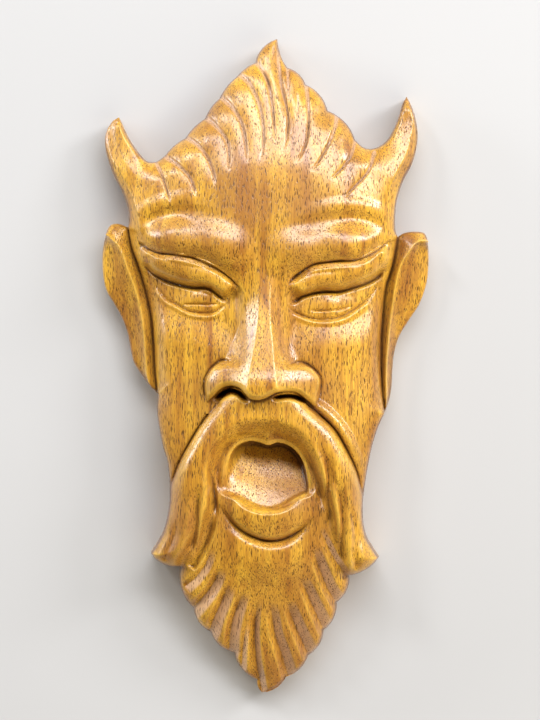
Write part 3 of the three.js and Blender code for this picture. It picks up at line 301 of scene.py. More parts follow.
setback = np.interp(x, *np.array(HAIR_SETBACK).T)
height -= setback * ease((y - np.interp(x, *np.array(HAIRLINE).T)) / HAIR_SLOPE)
for points, left, right in (
        ([(-3.5, 102), (-1.2, 99), (0.7, 94.7), (2, 88.6), (2.7, 82), (3.3, 73.2)], 1.0, 1.0),
        ([(-8.7, 97.8), (-5, 93.8), (-2.1, 87.2), (-0.7, 80), (-0.7, 72), (-2.5, 66.1)], 0.9, 1.3),
        ([(-14.9, 90.2), (-10.9, 85.8), (-7.9, 80.7), (-6.5, 74.2), (-5.8, 66.1)], 0.9, 1.2),
        ([(-20.3, 83.6), (-16, 79.3), (-12.3, 73.4), (-11.9, 63.3)], 0.9, 1.2),
        ([(-26.9, 76.7), (-22.5, 73.4), (-19.2, 69.1), (-17, 63.3), (-16.5, 58.2)], 0.9, 1.1),
        ([(-33, 69.8), (-28.3, 66.1), (-24.7, 61.8), (-22.5, 55.2)], 0.9, 1.1),
        ([(-36.3, 67.6), (-33.8, 61.8), (-31.2, 53.4)], 0.7, 0.8),
        ([(13.6, 94.6), (14.1, 89.2), (14.4, 80.8), (13.6, 74.1), (11.6, 69.4), (9.2, 66)], 0.7, 0.9),
        ([(24, 83.9), (23.2, 79), (20.6, 72.6), (17.4, 67.1), (14.6, 63.9)], 0.7, 1.0),
        ([(30.2, 76.3), (28.4, 69.8), (24.8, 64.7), (21.1, 61.4)], 0.7, 0.9),
        ([(36.4, 71.2), (34.2, 64.7), (29.8, 59.6), (25.9, 55.6)], 0.7, 0.9)):
    gouge(points, LOCK_CUT, left, right, LOCK_CROWN)
# The long cut from the tip, then three short fine ones beside it
gouge([(3.9, 109.8), (4.3, 106.3), (4.6, 99), (5.5, 92.2), (7.1, 85.5), (7.6, 80.6), (6.8, 74.2),
       (5.2, 69.4)], 0.8, 0.7, 0.9, 0.8, 2.2, 0.2)
gouge([(7.4, 100.3), (7.5, 93.5), (8, 85.4)], 0.5, 0.6, 0.6, 0.5, 2.0, 0, 0.6)
gouge([(10.6, 92), (10.8, 86), (11, 79)], 0.4, 0.5, 0.5, 0.2, 1.5, 0.3, 0.5)
gouge([(-1, 99), (1.2, 94), (2.4, 89)], 0.4, 0.5, 0.5, 0.2, 1.2, 0.3, 0.5)

# The forehead and brows
# Three soft swellings run together over each eye, with a shallow valley above them and a low ridge
# beyond it, pared with a wide gouge and scraped smooth.


def swell(cx, cy, long, short, turn, rise, power=2.0):
    """Smooth oval swelling; turn is in degrees."""
    angle = math.radians(turn)
    lengthwise = (x - cx) * math.cos(angle) + (y - cy) * math.sin(angle)
    crosswise = (y - cy) * math.cos(angle) - (x - cx) * math.sin(angle)
    height[:] += rise * np.clip(1 - (lengthwise / long)**2 - (crosswise / short)**2, 0, 1)**power


def roll(points, rise, left, right, fade_in, fade_out, power=1.5):
    """Rounded ridge along a curve, or a rounded furrow where rise is below zero."""
    line = curve(points)
    here = around(line, max(left, right))
    offset, share = near(line, x[here], y[here])
    wide = np.where(offset >= 0, left, right)
    height[here] += rise * np.clip(1 - (offset / wide)**2, 0, 1)**power * run_out(share, fade_in, fade_out)


swell(-27, 39, 21, 14, -8, 2.1, 2.0)
swell(-32.5, 40, 12, 11, -8, 1.8, 1.5)
swell(-13.5, 39.5, 13, 10, -25, 2.2, 2.2)
swell(25, 37, 21, 13.5, 8, 1.9, 2.0)
swell(30, 38.5, 12, 11, 8, 1.6, 1.5)
swell(8.5, 38, 12, 9.5, 25, 2.0, 2.2)
# The valley and the ridge on the left, then those on the right
roll([(-42, 43.5), (-39.5, 46.8), (-34.5, 49.2), (-28, 50.6), (-21, 50.4), (-14, 48.4)],
     -0.9, 3.4, 6.5, 0.25, 0.5, 2.4)
roll([(-44, 49), (-40, 52), (-34, 54.4), (-27, 55.6), (-20, 55)], 0.6, 3.4, 3.4, 0.3, 0.5, 2.0)
roll([(40.5, 42), (38, 45.6), (33, 47.8), (26, 48.5), (18, 47.6), (11, 46), (4, 43.6)],
     -0.9, 6.5, 3.4, 0.25, 0.5, 2.4)
roll([(42.5, 47), (38, 51), (32, 53), (25, 53.2), (17, 51.6), (10, 49)], 0.6, 3.4, 3.4, 0.3, 0.5, 2.0)

# The eyes
# Each eye is set in under the brow: a dark crease, the long upper lid with a chamfer along its top, the
# lash line, a small narrow eyeball between two cuts, and a thin lower lid.
BROW_DROP = 2.7
BROW_FALL = 0.8
BROW_HOLD = 14
BROW_BACK = 30
BROW_TURN = 1.5
BROW_TURN_WIDTH = 5.5
BROW_END = 0.14
LID_RISE = 3.4
LID_ROUND = 1.3
CHAMFER_SHARE = 0.6
CHAMFER_FOOT = 0.6
ROLL_NARROWING = 0.45
LASH_CUT = 2.0
LOWER_LID_CUT = 0.9
LOWER_LID_RISE = 0.5
EYEBALL_RISE = 0.5
EYE_LINE_CUT = 0.7
PUPIL_RISE = 0.35


def brow_step(points):
    """A drop just below a crease; the surface comes back to the face below the eye."""
    line = curve(points)
    first, last = line[:, 0].min(), line[:, 0].max()
    here = np.nonzero((x > first) & (x < last))[0]
    below = np.interp(x[here], line[:, 0], line[:, 1]) - y[here]
    share = (x[here] - first) / (last - first)
    step = ease(below / BROW_FALL) * (1 - ease((below - BROW_HOLD) / (BROW_BACK - BROW_HOLD)))
    turned_under = BROW_TURN * np.clip(1 + below / BROW_TURN_WIDTH, 0, 1)**2
    turned_under *= 1 - ease((below - BROW_FALL) / BROW_HOLD)
    height[here] -= (BROW_DROP * step + turned_under) * ease(share / BROW_END) * ease((1 - share) / BROW_END)


def crisp_roll(points, rise, steep, full, fade_in=0.12, fade_out=0.12):
    """A crisp edge along a curve: a chamfer and a steep face on its left, a full round on its right."""
    line = curve(points)
    here = around(line, max(steep, full))
    offset, share = near(line, x[here], y[here])
    narrowing = 1 - ROLL_NARROWING * (2 * share - 1)**2
    slope = np.interp(offset / (steep * narrowing), (0, CHAMFER_SHARE, 1), (1, CHAMFER_FOOT, 0))
    round_side = np.clip(1 - (offset / (full * narrowing))**2, 0, 1)
    height[here] += rise * np.where(offset >= 0, slope, round_side) * run_out(share, fade_in, fade_out)


# The left eye: brow crease, upper lid and its round, lash line, eyeball, lower lid, eye line, pupil
brow_step([(-44, 43), (-41.5, 41.5), (-38.8, 39.5), (-35.4, 38.1), (-31.3, 37.6), (-27.1, 36.9),
           (-24.3, 36.5), (-20.1, 34.8), (-16, 32.8), (-11.8, 29.8), (-8.2, 25.9), (-6, 22)])
crisp_roll([(-42.5, 40), (-38.8, 37.2), (-35, 35.5), (-31.3, 35), (-27.1, 34.4), (-21, 32.7), (-16, 30.2),
            (-12, 27.4), (-8.8, 23.8)], LID_RISE, 2.6, 8)
roll([(-40.5, 35.5), (-37.5, 32.9), (-33, 30.6), (-28.4, 29.2), (-24, 28.4), (-19, 27.9), (-15.2, 25.6),
      (-11.5, 22.4)], LID_ROUND, 4.2, 2.0, 0.15, 0.15, 1.0)
cut([(-42, 35), (-39.6, 32.5), (-36.8, 30.1), (-32.6, 28.1), (-28.2, 26.7), (-24.3, 25.9), (-19.3, 25.6),
     (-16, 23.6), (-12.5, 20.5)], LASH_CUT, 2.6, 1.2, 0.12, 0.15)
swell(-23, 21.6, 9.5, 4, 8, EYEBALL_RISE, 1.5)
roll([(-37, 26), (-33.2, 21.6), (-29.9, 19.6), (-26, 17.5), (-21.5, 16.4), (-17.3, 16.6), (-14, 18.4)],
     LOWER_LID_RISE, 1.0, 1.4, 0.15, 0.15)
cut([(-37.5, 28.5), (-35.4, 25.1), (-33.2, 22.3), (-29.9, 20.6), (-26, 18.4), (-21.5, 17.5), (-17.3, 17.8),
     (-14.6, 19.5), (-12.5, 20.7)], LOWER_LID_CUT, 1.2, 1.2, 0.12, 0.1)
cut([(-28.5, 20.2), (-24, 20.5), (-19.5, 20.3), (-15, 20.5)], EYE_LINE_CUT, 0.9, 0.6, 0.2, 0.2)
swell(-21.8, 22.6, 2.9, 2.4, 0, PUPIL_RISE, 0.8)

# The right eye, in the same order
brow_step([(5.5, 22), (7.3, 26.6), (8.5, 29.1), (11.4, 31.5), (15.7, 34.1), (20.1, 34.9), (24.4, 35.4),
           (28.7, 35.5), (33, 36.7), (37.4, 39.2), (40, 41.5), (42.5, 43)])
crisp_roll([(7.4, 23.4), (9.5, 26.6), (12, 28.8), (15.7, 31.1), (20.1, 32), (25.8, 32.3), (30.2, 33),
            (34.5, 34.9), (38, 37.5), (41.5, 40.4)], LID_RISE, 2.8, 7.6)
roll([(8, 23), (10.4, 24.2), (13, 25.4), (16.4, 26.3), (20.3, 26.8), (24.6, 26.9), (28.6, 28.1),
      (32.6, 29.5), (36.6, 31.8), (39.6, 35)], LID_ROUND, 4.2, 2.0, 0.15, 0.15, 1.0)
cut([(6.8, 21), (9.9, 21.3), (12, 22.8), (15.7, 23.9), (20.1, 24.5), (24.4, 24.5), (28.7, 25.7), (33, 27.1),
     (37.4, 29.4), (40.5, 33)], LASH_CUT, 2.6, 1.2, 0.12, 0.12)
swell(22.5, 19.8, 10.5, 4, 3, EYEBALL_RISE, 1.5)
roll([(8.5, 17.6), (11.8, 15.8), (16, 14.5), (21.5, 14.4), (26.4, 15.6), (30.8, 18.2), (35, 22)],
     LOWER_LID_RISE, 1.0, 1.4, 0.15, 0.15)
cut([(6.8, 20.5), (7.9, 19), (11.4, 17), (16, 15.6), (21.5, 15.6), (25.8, 16.7), (30.2, 19.3), (34.5, 22.8),
     (38, 28)], LOWER_LID_CUT, 1.2, 1.2, 0.12, 0.1)
cut([(14, 18.3), (18, 18.3), (24, 18.6), (29, 20)], EYE_LINE_CUT, 0.9, 0.6, 0.2, 0.2)
swell(22.3, 20.4, 2.4, 2.8, 0, PUPIL_RISE, 0.8)
face_without_nose = height.copy()

# The moustache
# Two thick sweeps from under the nose, hewn proud of the cheeks and hollowed towards the mouth,
# then parted into strands that end in the whisker tips at the jaw.
MOUSTACHE_OUTER = curve(
    [(-43, -62), (-40, -57), (-36, -50), (-32.5, -43), (-30.7, -37.6), (-28.3, -31.4), (-24.2, -23.9),
     (-20.2, -17.7), (-16.8, -13.5), (-13, -9), (-8, -4.5), (0, -3.5), (8, -4.5), (11, -9), (13.4, -12.2),
     (18.2, -16.4), (23, -21.2), (27, -28), (30.4, -35.5), (32.3, -43), (35.5, -52), (38, -58), (42, -64)])
MOUSTACHE_INNER = curve(
    [(-40, -68), (-34, -70), (-28.5, -70), (-26.5, -64), (-21.5, -57), (-18.5, -51), (-16.6, -46),
     (-16.2, -40), (-15.9, -33.5), (-14.3, -28.5), (-11, -25.4), (-7, -23.2), (0, -22.4), (5.5, -23.4),
     (10.5, -26.6), (14, -32), (16.4, -38), (18.7, -43.5), (20.1, -49), (22, -55.3), (23.8, -62.6),
     (26, -69), (31, -72), (37, -70)])
MOUSTACHE_HEIGHT = [(-75, 3.5), (-60, 4.2), (-40, 5), (-20, 4.8), (-6, 4)]
MOUSTACHE_SLOPE = [(-75, 4), (-50, 4.5), (-35, 4.5), (-20, 6), (-6, 8)]
MOUSTACHE_SHOULDER = 4.8
MOUTH_SIDE_START = 0.08
STRAND_HOLLOW = 1.15


def raise_moustache():
    """Raise both sweeps, with a round shoulder to the cheeks and a longer slope to the mouth."""
    sweeps = np.vstack((MOUSTACHE_OUTER, MOUSTACHE_INNER[::-1]))
    here = around(sweeps, 0)
    here = here[depth_in(sweeps, x[here], y[here]) > 0]
    from_cheek = np.abs(near(MOUSTACHE_OUTER, x[here], y[here])[0])
    from_mouth = np.abs(near(MOUSTACHE_INNER, x[here], y[here])[0])
    slope = ease(MOUTH_SIDE_START + from_mouth / levels(MOUSTACHE_SLOPE, y[here]))
    shoulder = dome(from_cheek / MOUSTACHE_SHOULDER) * slope
    height[here] += levels(MOUSTACHE_HEIGHT, y[here]) * shoulder


raise_moustache()
# A groove along each cheek, and a low fold of the cheek beyond the right one
cut([(-15, -10.8), (-16.8, -13.5), (-20.2, -17.7), (-24.2, -23.9), (-28.3, -31.4), (-30.7, -37.6),
     (-32.5, -43)], 1.2, 2.4, 1.2, 0.05, 0.2)
cut([(13.4, -12.2), (18.2, -16.4), (23, -21.2), (27, -28), (30.4, -35.5), (32.3, -43)],
    1.2, 1.0, 2.0, 0.05, 0.2)
roll([(15, -11.5), (21, -16), (26, -22), (30, -30), (32.5, -38)], 1.8, 2.4, 2.4, 0.12, 0.5)


def part_strands(points, depth, left, right, fade_in, fade_out):
    """A slicing cut with two straight faces that meet in a line."""
    line = curve(points)
    here = around(line, max(left, right))
    offset, share = near(line, x[here], y[here])
    wide = np.where(offset >= 0, left, right)
    face = np.clip(1 - np.abs(offset) / wide, 0, 1)
    height[here] -= depth * face**STRAND_HOLLOW * run_out(share, fade_in, fade_out)


# The strands of the left sweep
part_strands([(-10.5, -24), (-14, -29), (-15.6, -33.5), (-15.8, -39.3), (-15.6, -44.5)],
             1.4, 1.6, 2.6, 0.3, 0.3)
part_strands([(-18.9, -28.5), (-18.4, -33), (-17.6, -37.5), (-16.8, -43), (-16.4, -48), (-17, -52)],
             2.0, 1.1, 3.0, 0.4, 0.3)
part_strands([(-22, -39), (-22.2, -45), (-22.6, -50), (-23.2, -54.5), (-24, -58), (-25.4, -62)],
             2.2, 1.4, 3.2, 0.35, 0.2)
part_strands([(-17.4, -48), (-17.8, -53), (-19.4, -58), (-21.8, -63), (-24.6, -67.5)],
             2.0, 1.5, 3.0, 0.3, 0.05)
part_strands([(-29, -50), (-30.2, -56.3), (-32.4, -61.5), (-34, -65)], 1.1, 2.4, 2.4, 0.4, 0.1)
# The strands of the right sweep
part_strands([(12.5, -28), (15, -33), (17.2, -38.5), (18.2, -43.5), (19.6, -48.5)], 1.5, 2.2, 1.6, 0.3, 0.3)
part_strands([(16.5, -25), (19.4, -30.5), (20.6, -36), (20.6, -42.8), (21.4, -49.5), (21.8, -55)],
             2.0, 3.0, 1.3, 0.35, 0.2)
part_strands([(22.3, -35), (24, -41), (25, -48), (25.4, -54.3), (25, -60), (25.4, -66)],
             2.0, 3.0, 1.4, 0.35, 0.1)
part_strands([(27.2, -44), (28.8, -50), (29.8, -56.5), (29.6, -62), (29.8, -68)], 1.4, 2.6, 1.6, 0.4, 0.1)

# The nose
# A narrow flat front between two soft ridges, its left side cut nearly straight and its right side in a
# cove, low rounded wings, a steep lower edge with a thin bevel, and the nostrils scooped below it.
NOSE_TOP = [(-12, 9.6), (-9, 10.4), (-5, 10.2), (-2, 9.2), (5, 7.2), (13, 4.9), (18, 3.5), (22, 2.4),
            (26, 1.4), (30, 0.6), (36, 0)]
NOSE_RIDGE_LEFT = [(-12, -6.5), (-5, -5.6), (-1.5, -5), (4.5, -4), (10.5, -2.9), (16.5, -2.2), (25, -1.8),
                   (36, -2.5)]
NOSE_RIDGE_RIGHT = [(-12, 4.6), (-5, 3.4), (0, 2.9), (7.5, 2.4), (15.5, 1.6), (25, 1.6), (36, 2.5)]
NOSE_FOOT_LEFT = [(-12, -19.6), (-8, -20.2), (-3, -19.6), (0, -17.2), (1.6, -14.6), (3, -13.2), (6, -11.8),
                  (9.5, -10.3), (18, -7), (25, -5.6), (36, -7)]
NOSE_FOOT_RIGHT = [(-12, 17.4), (-8, 18.2), (-3, 17.8), (-0.6, 15.4), (1, 12.8), (3, 11), (6, 9.4),
                   (10.5, 8), (19.5, 6), (25, 5), (36, 7)]
NOSE_LOWER_EDGE = curve(
    [(-22, -14), (-19.2, -11.5), (-17, -9.3), (-14.6, -7.1), (-11.7, -6.2), (-8.7, -6.8), (-6.9, -8.4),
     (-5, -10.4), (-2.7, -10.9), (-0.3, -10.4), (1.8, -9.3), (3.9, -8.4), (7.8, -8), (10.8, -8.7),
     (13.2, -10.4), (15, -12), (18, -15)])
NOSE_COVE_LEFT = 1.05
NOSE_COVE_RIGHT = 1.7
NOSE_BOX = np.array([(-24, -16), (24, 36)])
NOSE_BEVEL = 1.2
NOSE_BEVEL_WIDTH = 1.3
NOSE_BEVEL_POWER = 1.5
NOSE_STEP_WIDTH = 0.6
WING_TOP = 2.5
WING_GROWTH = 4
WING_SHARE = 0.42
WING_WIDTH = 0.38


def raise_nose():
    """Raise the nose over the face as it was before the moustache, which it overlaps."""
    here = around(NOSE_BOX, 0)
    nx, ny = x[here], y[here]
    foot_left, foot_right = levels(NOSE_FOOT_LEFT, ny), levels(NOSE_FOOT_RIGHT, ny)
    from_left = (nx - foot_left) / (levels(NOSE_RIDGE_LEFT, ny) - foot_left)
    from_right = (foot_right - nx) / (foot_right - levels(NOSE_RIDGE_RIGHT, ny))
    side = np.clip(np.minimum(from_left, from_right), 0, 1)
    wing = ease((WING_TOP - ny) / WING_GROWTH)
    flare = WING_SHARE * dome(side / WING_WIDTH) + (1 - WING_SHARE) * side**2
    cove = side**np.where(from_left < from_right, NOSE_COVE_LEFT, NOSE_COVE_RIGHT)
    nose = levels(NOSE_TOP, ny) * (cove + wing * (flare - cove))
    above_edge, _ = near(NOSE_LOWER_EDGE, nx, ny)
    bevel = (1 - np.clip(above_edge / NOSE_BEVEL_WIDTH, 0, 1))**NOSE_BEVEL_POWER
    nose = np.maximum(nose - NOSE_BEVEL * bevel, 0) * ease((above_edge + NOSE_STEP_WIDTH) / NOSE_STEP_WIDTH)
    height[here] = np.maximum(height[here], face_without_nose[here] + nose)


raise_nose()
# A crease over each wing, then the nostrils
cut([(-10.3, 0.6), (-13, 1.9), (-15.8, 1.4), (-18.4, -1.6), (-20, -5), (-20.2, -8), (-19, -11.5)],
    1.0, 0.8, 1.2, 0.15, 0.1)
cut([(7, -0.6), (9, 0.9), (11.8, 1.3), (15, -0.2), (17.6, -3), (18.2, -6), (16.9, -10.6)],
    1.0, 1.2, 0.8, 0.15, 0.1)
cut([(-17.3, -11.4), (-14.2, -8.9), (-11.5, -7.9), (-8.8, -8.6), (-6.8, -10.4), (-5, -12)],
    8, 0.9, 2.0, 0.3, 0.3)
cut([(1.8, -10.8), (4.5, -10), (8, -9.7), (11, -10.4), (13.5, -12.2)], 7, 0.9, 1.8, 0.3, 0.3)

# The mouth
# A deep hollow, open wide: its left wall slopes in gently and its right wall drops steeply. The lower
# lip is a full roll with a crease under it; the lips are bevelled in to the hollow.
MOUTH_EDGE = curve(
    [(-13, -41), (-12.7, -36.5), (-12.4, -32.5), (-11, -28.4), (-8.6, -25.9), (-5.3, -24.8), (-2.2, -25.2),
     (0.9, -26.2), (3.8, -25.4), (6.7, -25.9), (9.6, -27.7), (12.1, -31), (13.6, -35.7), (14.2, -41.2),
     (12, -42.6), (9.6, -43.7), (5.6, -45.9), (1.6, -47), (-2, -46.6), (-6, -45.1), (-9.7, -43)],
    closed=True)
MOUTH_FLOOR = [(-50, 22.3), (-46.5, 21.1), (-42, 18.9), (-36, 15.4), (-30, 12.3), (-25, 10.2), (-20, 9.3)]
MOUTH_LEFT_RISE = [(-16, 4), (-12, 2.6), (-8, 1.3), (-4, 0.4), (2, 0), (10, -0.6), (16, -1.0)]
MOUTH_BOX = np.array([(-20, -51), (20, -19)])
MOUTH_WALL = 1.0
MOUTH_LEFT_WALL = 4.0
LEFT_WALL_START = -3
LEFT_WALL_GROWTH = 6
LOWER_LIP_LINE = -46
BEVEL_GROWTH = 7
RISE_GROWTH = 9
LIP_BEVEL = 2.0
LIP_BEVEL_WIDTH = 3.2
LOWER_LIP_BEVEL_SHARE = 0.2
LOWER_LIP_BEVEL_WIDTH = 0.6
FLOOR_UNDER_LIPS = 0.3


def open_mouth():
    """Bevel the lips, the lower one only a little, then sink the floor between them."""
    here = around(MOUTH_BOX, 0)
    mx, my = x[here], y[here]
    within = depth_in(MOUTH_EDGE, mx, my)
    upper = ease((my - LOWER_LIP_LINE) / BEVEL_GROWTH)
    bevel_width = LOWER_LIP_BEVEL_WIDTH + (LIP_BEVEL_WIDTH - LOWER_LIP_BEVEL_WIDTH) * upper
    bevel = np.clip(1 + np.minimum(within, 0) / bevel_width, 0, 1)
    bevel_share = LOWER_LIP_BEVEL_SHARE + (1 - LOWER_LIP_BEVEL_SHARE) * upper
    lips = height[here] - LIP_BEVEL * bevel_share * bevel
    rise = levels(MOUTH_LEFT_RISE, mx) * ease((my - LOWER_LIP_LINE) / RISE_GROWTH)
    floor = np.minimum(levels(MOUTH_FLOOR, my) + rise, lips - FLOOR_UNDER_LIPS)
    left_part = ease((LEFT_WALL_START - mx) / LEFT_WALL_GROWTH)
    wall = MOUTH_WALL + (MOUTH_LEFT_WALL - MOUTH_WALL) * left_part * upper
    height[here] = np.where(within > 0, lips - (lips - floor) * dome(within / wall), lips)


# The lower lip, the crease under it, then the hollow
crisp_roll([(-13.6, -39.6), (-12.4, -42.2), (-10.6, -44.2), (-7.2, -46.9), (-3.2, -48.5), (0.8, -49),
            (4.9, -48.5), (8.9, -46.8), (11.8, -44.8), (14, -41.5)], 2.6, 1.9, 9, 0.4, 0.4)
cut([(-15.4, -43.5), (-14.6, -46.8), (-12.4, -50.2), (-9, -53.6), (-4.6, -56.2), (0.9, -57.8), (6.3, -57.2),
     (11.1, -54.6), (15.2, -51), (18.4, -50)], 2.8, 2.0, 3.2, 0.3, 0.3)
open_mouth()

# The beard
# Locks run down from the lower lip and the whiskers to the bites in the edge. Each is parted from the
# next by two straight slicing cuts; the face on the right is painted pale, a painted sheen for the light it
# would catch.
BEARD_CUT = 2.6
BEARD_NARROWING = 0.3
FACE_SHEEN = 5


def part_locks(points, depth, left, right, fade_in=0.0, fade_out=0.35):
    """Two straight faces that meet in a line, narrower towards the top of the lock."""
    line = curve(points)
    here = around(line, max(left, right))
    offset, share = near(line, x[here], y[here])
    wide = np.where(offset >= 0, left, right) * (1 - BEARD_NARROWING * share)
    face = np.clip(1 - np.abs(offset) / wide, 0, 1)
    run = run_out(share, fade_in, fade_out)
    height[here] -= depth * face * run
    # Marks the face on the right for a pale tint: a painted sheen where that face would catch the light.
    cut_and_sheen[here] = np.maximum(cut_and_sheen[here], np.where(offset < 0, np.minimum(1, FACE_SHEEN * face), 0) * run)


swell(1, -64, 17, 11, 0, 1.8)
for points, left, right in (
        ([(-24.5, -81.2), (-21, -77.3), (-17.6, -72.8), (-14.8, -66.4)], 2.4, 4.0),
        ([(-19, -89), (-17.1, -84), (-14.6, -78.5), (-12, -72)], 2.4, 4.2),
        ([(-12.2, -95.6), (-11.8, -89.5), (-10.6, -84), (-8.7, -78.5), (-6.8, -74)], 2.4, 4.0),
        ([(-1.4, -108.5), (-3, -98.6), (-3.5, -89.7), (-3.0, -82), (-2, -77)], 3.4, 2.2),
        ([(7.6, -104.2), (5.5, -96.4), (3.3, -89.7), (2.4, -83.9), (1.6, -78)], 2.6, 3.6),
        ([(14.5, -97), (11.3, -89.7), (9.1, -84.3), (6.9, -77.8)], 2.6, 4.2),
        ([(19.6, -88.4), (16.7, -82.1), (13.6, -74.9), (11.4, -70)], 2.4, 4.2),
        ([(24.1, -79.6), (20.7, -74), (17.6, -66), (15.4, -59.7)], 2.4, 4.0)):
    part_locks(points, BEARD_CUT, left, right)
# Lighter cuts under both whiskers and near the tip
part_locks([(28, -71), (23, -64), (20, -58), (17.5, -53)], 1.4, 2.2, 2.2, 0.1, 0.4)
part_locks([(-8, -101), (-7.4, -93), (-6.3, -85)], 1.2, 1.4, 2.0, 0, 0.5)
part_locks([(-27.5, -74), (-23.4, -70.5), (-20, -66), (-17.6, -60)], 1.4, 1.8, 3.0, 0.1, 0.4)

# The ears, and the rounding of the edge
# The edge of the head is rounded over all the way round. Each ear is a long leaf with one crisp ridge,
# a hollow facet outside it and a straight one inside.
EAR_RIDGE = [(0, 12), (0.3, 12.4), (0.6, 11.8), (1, 10)]
EAR_OUTER_EDGE = 7.5
EAR_GROOVE = 8.6
EAR_ROUNDING = 1.0
EAR_BLEND = 1.5
EAR_FACET_POWER = 1.6
EDGE_BEVEL_WIDTH = 1.5
BEVEL_SHARE = 0.42
ROUNDING_POWER = 1.2
RIDGE_LEFT = curve(
    [(-56, 45.5), (-54, 44.3), (-52, 42.9), (-48.6, 39.1), (-46, 32.2), (-43.9, 26.7), (-42.2, 20.7),
     (-41.1, 14.3), (-40.5, 7.8), (-40.1, 1.4), (-39.6, -4.1), (-37.5, -9.5)])
RIDGE_RIGHT = curve(
    [(56.5, 41.8), (54, 41.6), (50.6, 41.3), (48, 38.2), (45, 33.5), (43.4, 27.2), (42.5, 20.7),
     (41.6, 14.3), (41, 7.9), (40.4, -0.7), (40.5, -9.2), (40.6, -14)])

by_ear = ease((edge_depth - head_depth) / EAR_BLEND)
bevel_width = EDGE_BEVEL_WIDTH + (levels(EDGE_ROUNDING, y) - EDGE_BEVEL_WIDTH) * by_ear
rounding = dome(head_depth / levels(EDGE_ROUNDING, y))**ROUNDING_POWER
rim = levels(RIM_HEIGHT, y)
full_height = BEVEL_SHARE * dome(head_depth / bevel_width) + (1 - BEVEL_SHARE) * rounding
height = rim + (height - rim) * full_height
for ridge, hand in ((RIDGE_LEFT, -1), (RIDGE_RIGHT, 1)):
    here = np.nonzero((head_depth <= 0) & (x * hand > 0))[0]
    offset, share = near(ridge, x[here], y[here])
    outer = offset * hand > 0
    to_groove = np.minimum(edge_depth[here], -head_depth[here])
    to_foot = np.where(outer, edge_depth[here], to_groove)
    foot = np.where(outer, EAR_OUTER_EDGE, EAR_GROOVE)
    climb = np.clip(to_foot / (to_foot + np.abs(offset) + 1e-6), 0, 1)
    facet = foot + (levels(EAR_RIDGE, share) - foot) * np.where(outer, climb**EAR_FACET_POWER, climb)
    height[here] = facet - (1 - dome(edge_depth[here] / EAR_ROUNDING))

# The horns
# Each horn is a curved spike that grows out of the temple. A knife has left crisp ridges along it, two
# on the left horn and one on the right, with a hollow slope on either hand.
ARRIS_POWER = 1.6
ARRIS_EDGE = 1.2


def arris(points, rise, left, right, fade_in=0.1, fade_out=0.3):
    """A crisp ridge along a curve with a hollow slope on either hand."""
    line = curve(points)
    here = around(line, max(left, right))
    offset, share = near(line, x[here], y[here])
    wide = np.where(offset >= 0, left, right)
    slope = np.clip(1 - np.abs(offset) / wide, 0, 1)**ARRIS_POWER
    height[here] += rise * slope * run_out(share, fade_in, fade_out) * ease(edge_depth[here] / ARRIS_EDGE)


# The right horn, then the left one
arris([(47.6, 89), (49.4, 84), (49.1, 78.8), (46.7, 70.3), (42.2, 61.7), (38.7, 53.2)], 1.6, 2.6, 5.5)
arris([(-53, 79), (-51.8, 70.3), (-46.9, 62), (-43.8, 54.8), (-42, 48), (-41.2, 42.9)],
      1.2, 5.5, 3.0, 0.4, 0.1)
arris([(-49.6, 82), (-47, 76), (-43.5, 71.5), (-39.8, 66)], 0.7, 2.0, 4.0, 0.1, 0.4)

# The finished carving
# One solid: the carved front, the sawn wall that narrows a little to its eased back edge, and the plain
# flat back on the table. For the finish, each point keeps how far it lies in a hollow, which sets painted
# shade in hollows and a painted highlight on ridges, and a mark where a gouge cut it last or where a beard
# face gets a painted sheen.
BACK_EASE = 1.2
WALL_TAPER = 0.5
WALL_ROWS = 3
EASE_ROWS = 2
TIP_SHARE = 0.35
ROOM_STEP = 0.25
ROOM_LIMIT = 6
ROOM_SHARE = 0.8
ROOM_SLACK = 0.05
FRONT_POINTS = 88000
EDGE_BAND = 1.2
EDGE_RANK = 10.0
COARSE_RANK = 20.0
HOLLOW_PASSES = 5
HOLLOW_FULL = 0.6
HOLLOW_LIMIT = 2
ONLY_INSIDE = 1
MERGED_WITHIN = 1e-6
SHARP_ANGLE = 50


def room_inside():
    """The way in from each edge point, and how far it can go before the sides of a horn meet."""
    ahead = np.roll(outline, -1, axis=0) - np.roll(outline, 1, axis=0)
    inward = np.column_stack((-ahead[:, 1], ahead[:, 0])) / np.hypot(*ahead.T)[:, None]
    room = np.zeros(len(outline))
    free = np.ones(len(outline), bool)
    for reach in np.arange(ROOM_STEP, ROOM_LIMIT, ROOM_STEP):
        free &= depth_in(outline, *(outline + inward * reach).T) > ROOM_SHARE * reach - ROOM_SLACK
        room[free] = reach
    return inward, np.minimum(room, np.minimum(np.roll(room, 1), np.roll(room, -1)))


def hollows(level):
    """How far each point of the grid lies below the mean round it, taken equally wide both ways."""
    weight = on_board.astype(float)
    total = np.where(on_board, level, 0)
    for axis, step, passes in ((1, 1, 3 * HOLLOW_PASSES), (0, 2, HOLLOW_PASSES)):
        for _ in range(passes):
            for values in (total, weight):
                beside = np.roll(values, step, axis) + np.roll(values, -step, axis)
                values[:] = 0.5 * values + 0.25 * beside
    return (total / np.maximum(weight, 1e-6) - level)[on_board]


def turns(level):
    """How sharply the surface turns at each point or beside it. Two rows are the root of 3 steps apart."""
    across = np.roll(level, 1, 1) + np.roll(level, -1, 1) - 2 * level
    along = (np.roll(level, 2, 0) + np.roll(level, -2, 0) - 2 * level) / 3
    sharp = np.nan_to_num(np.maximum(np.abs(across), np.abs(along)))
    beside = [np.roll(sharp, step, axis) for step in (-1, 1) for axis in (0, 1)]
    return np.maximum(sharp, np.max(beside, axis=0))


def chosen_points(level):
    """A quarter of the grid, all of it near the edge, and the points where the carving turns most."""
    row, column = np.indices(on_board.shape)
    coarse = (row % 2 == 0) & ((column + row // 2) % 2 == 0)
    rank = turns(level) + EDGE_RANK * (grid_depth < EDGE_BAND) + COARSE_RANK * coarse
    rank = rank[on_board]
    return rank >= np.partition(rank, -FRONT_POINTS)[-FRONT_POINTS]


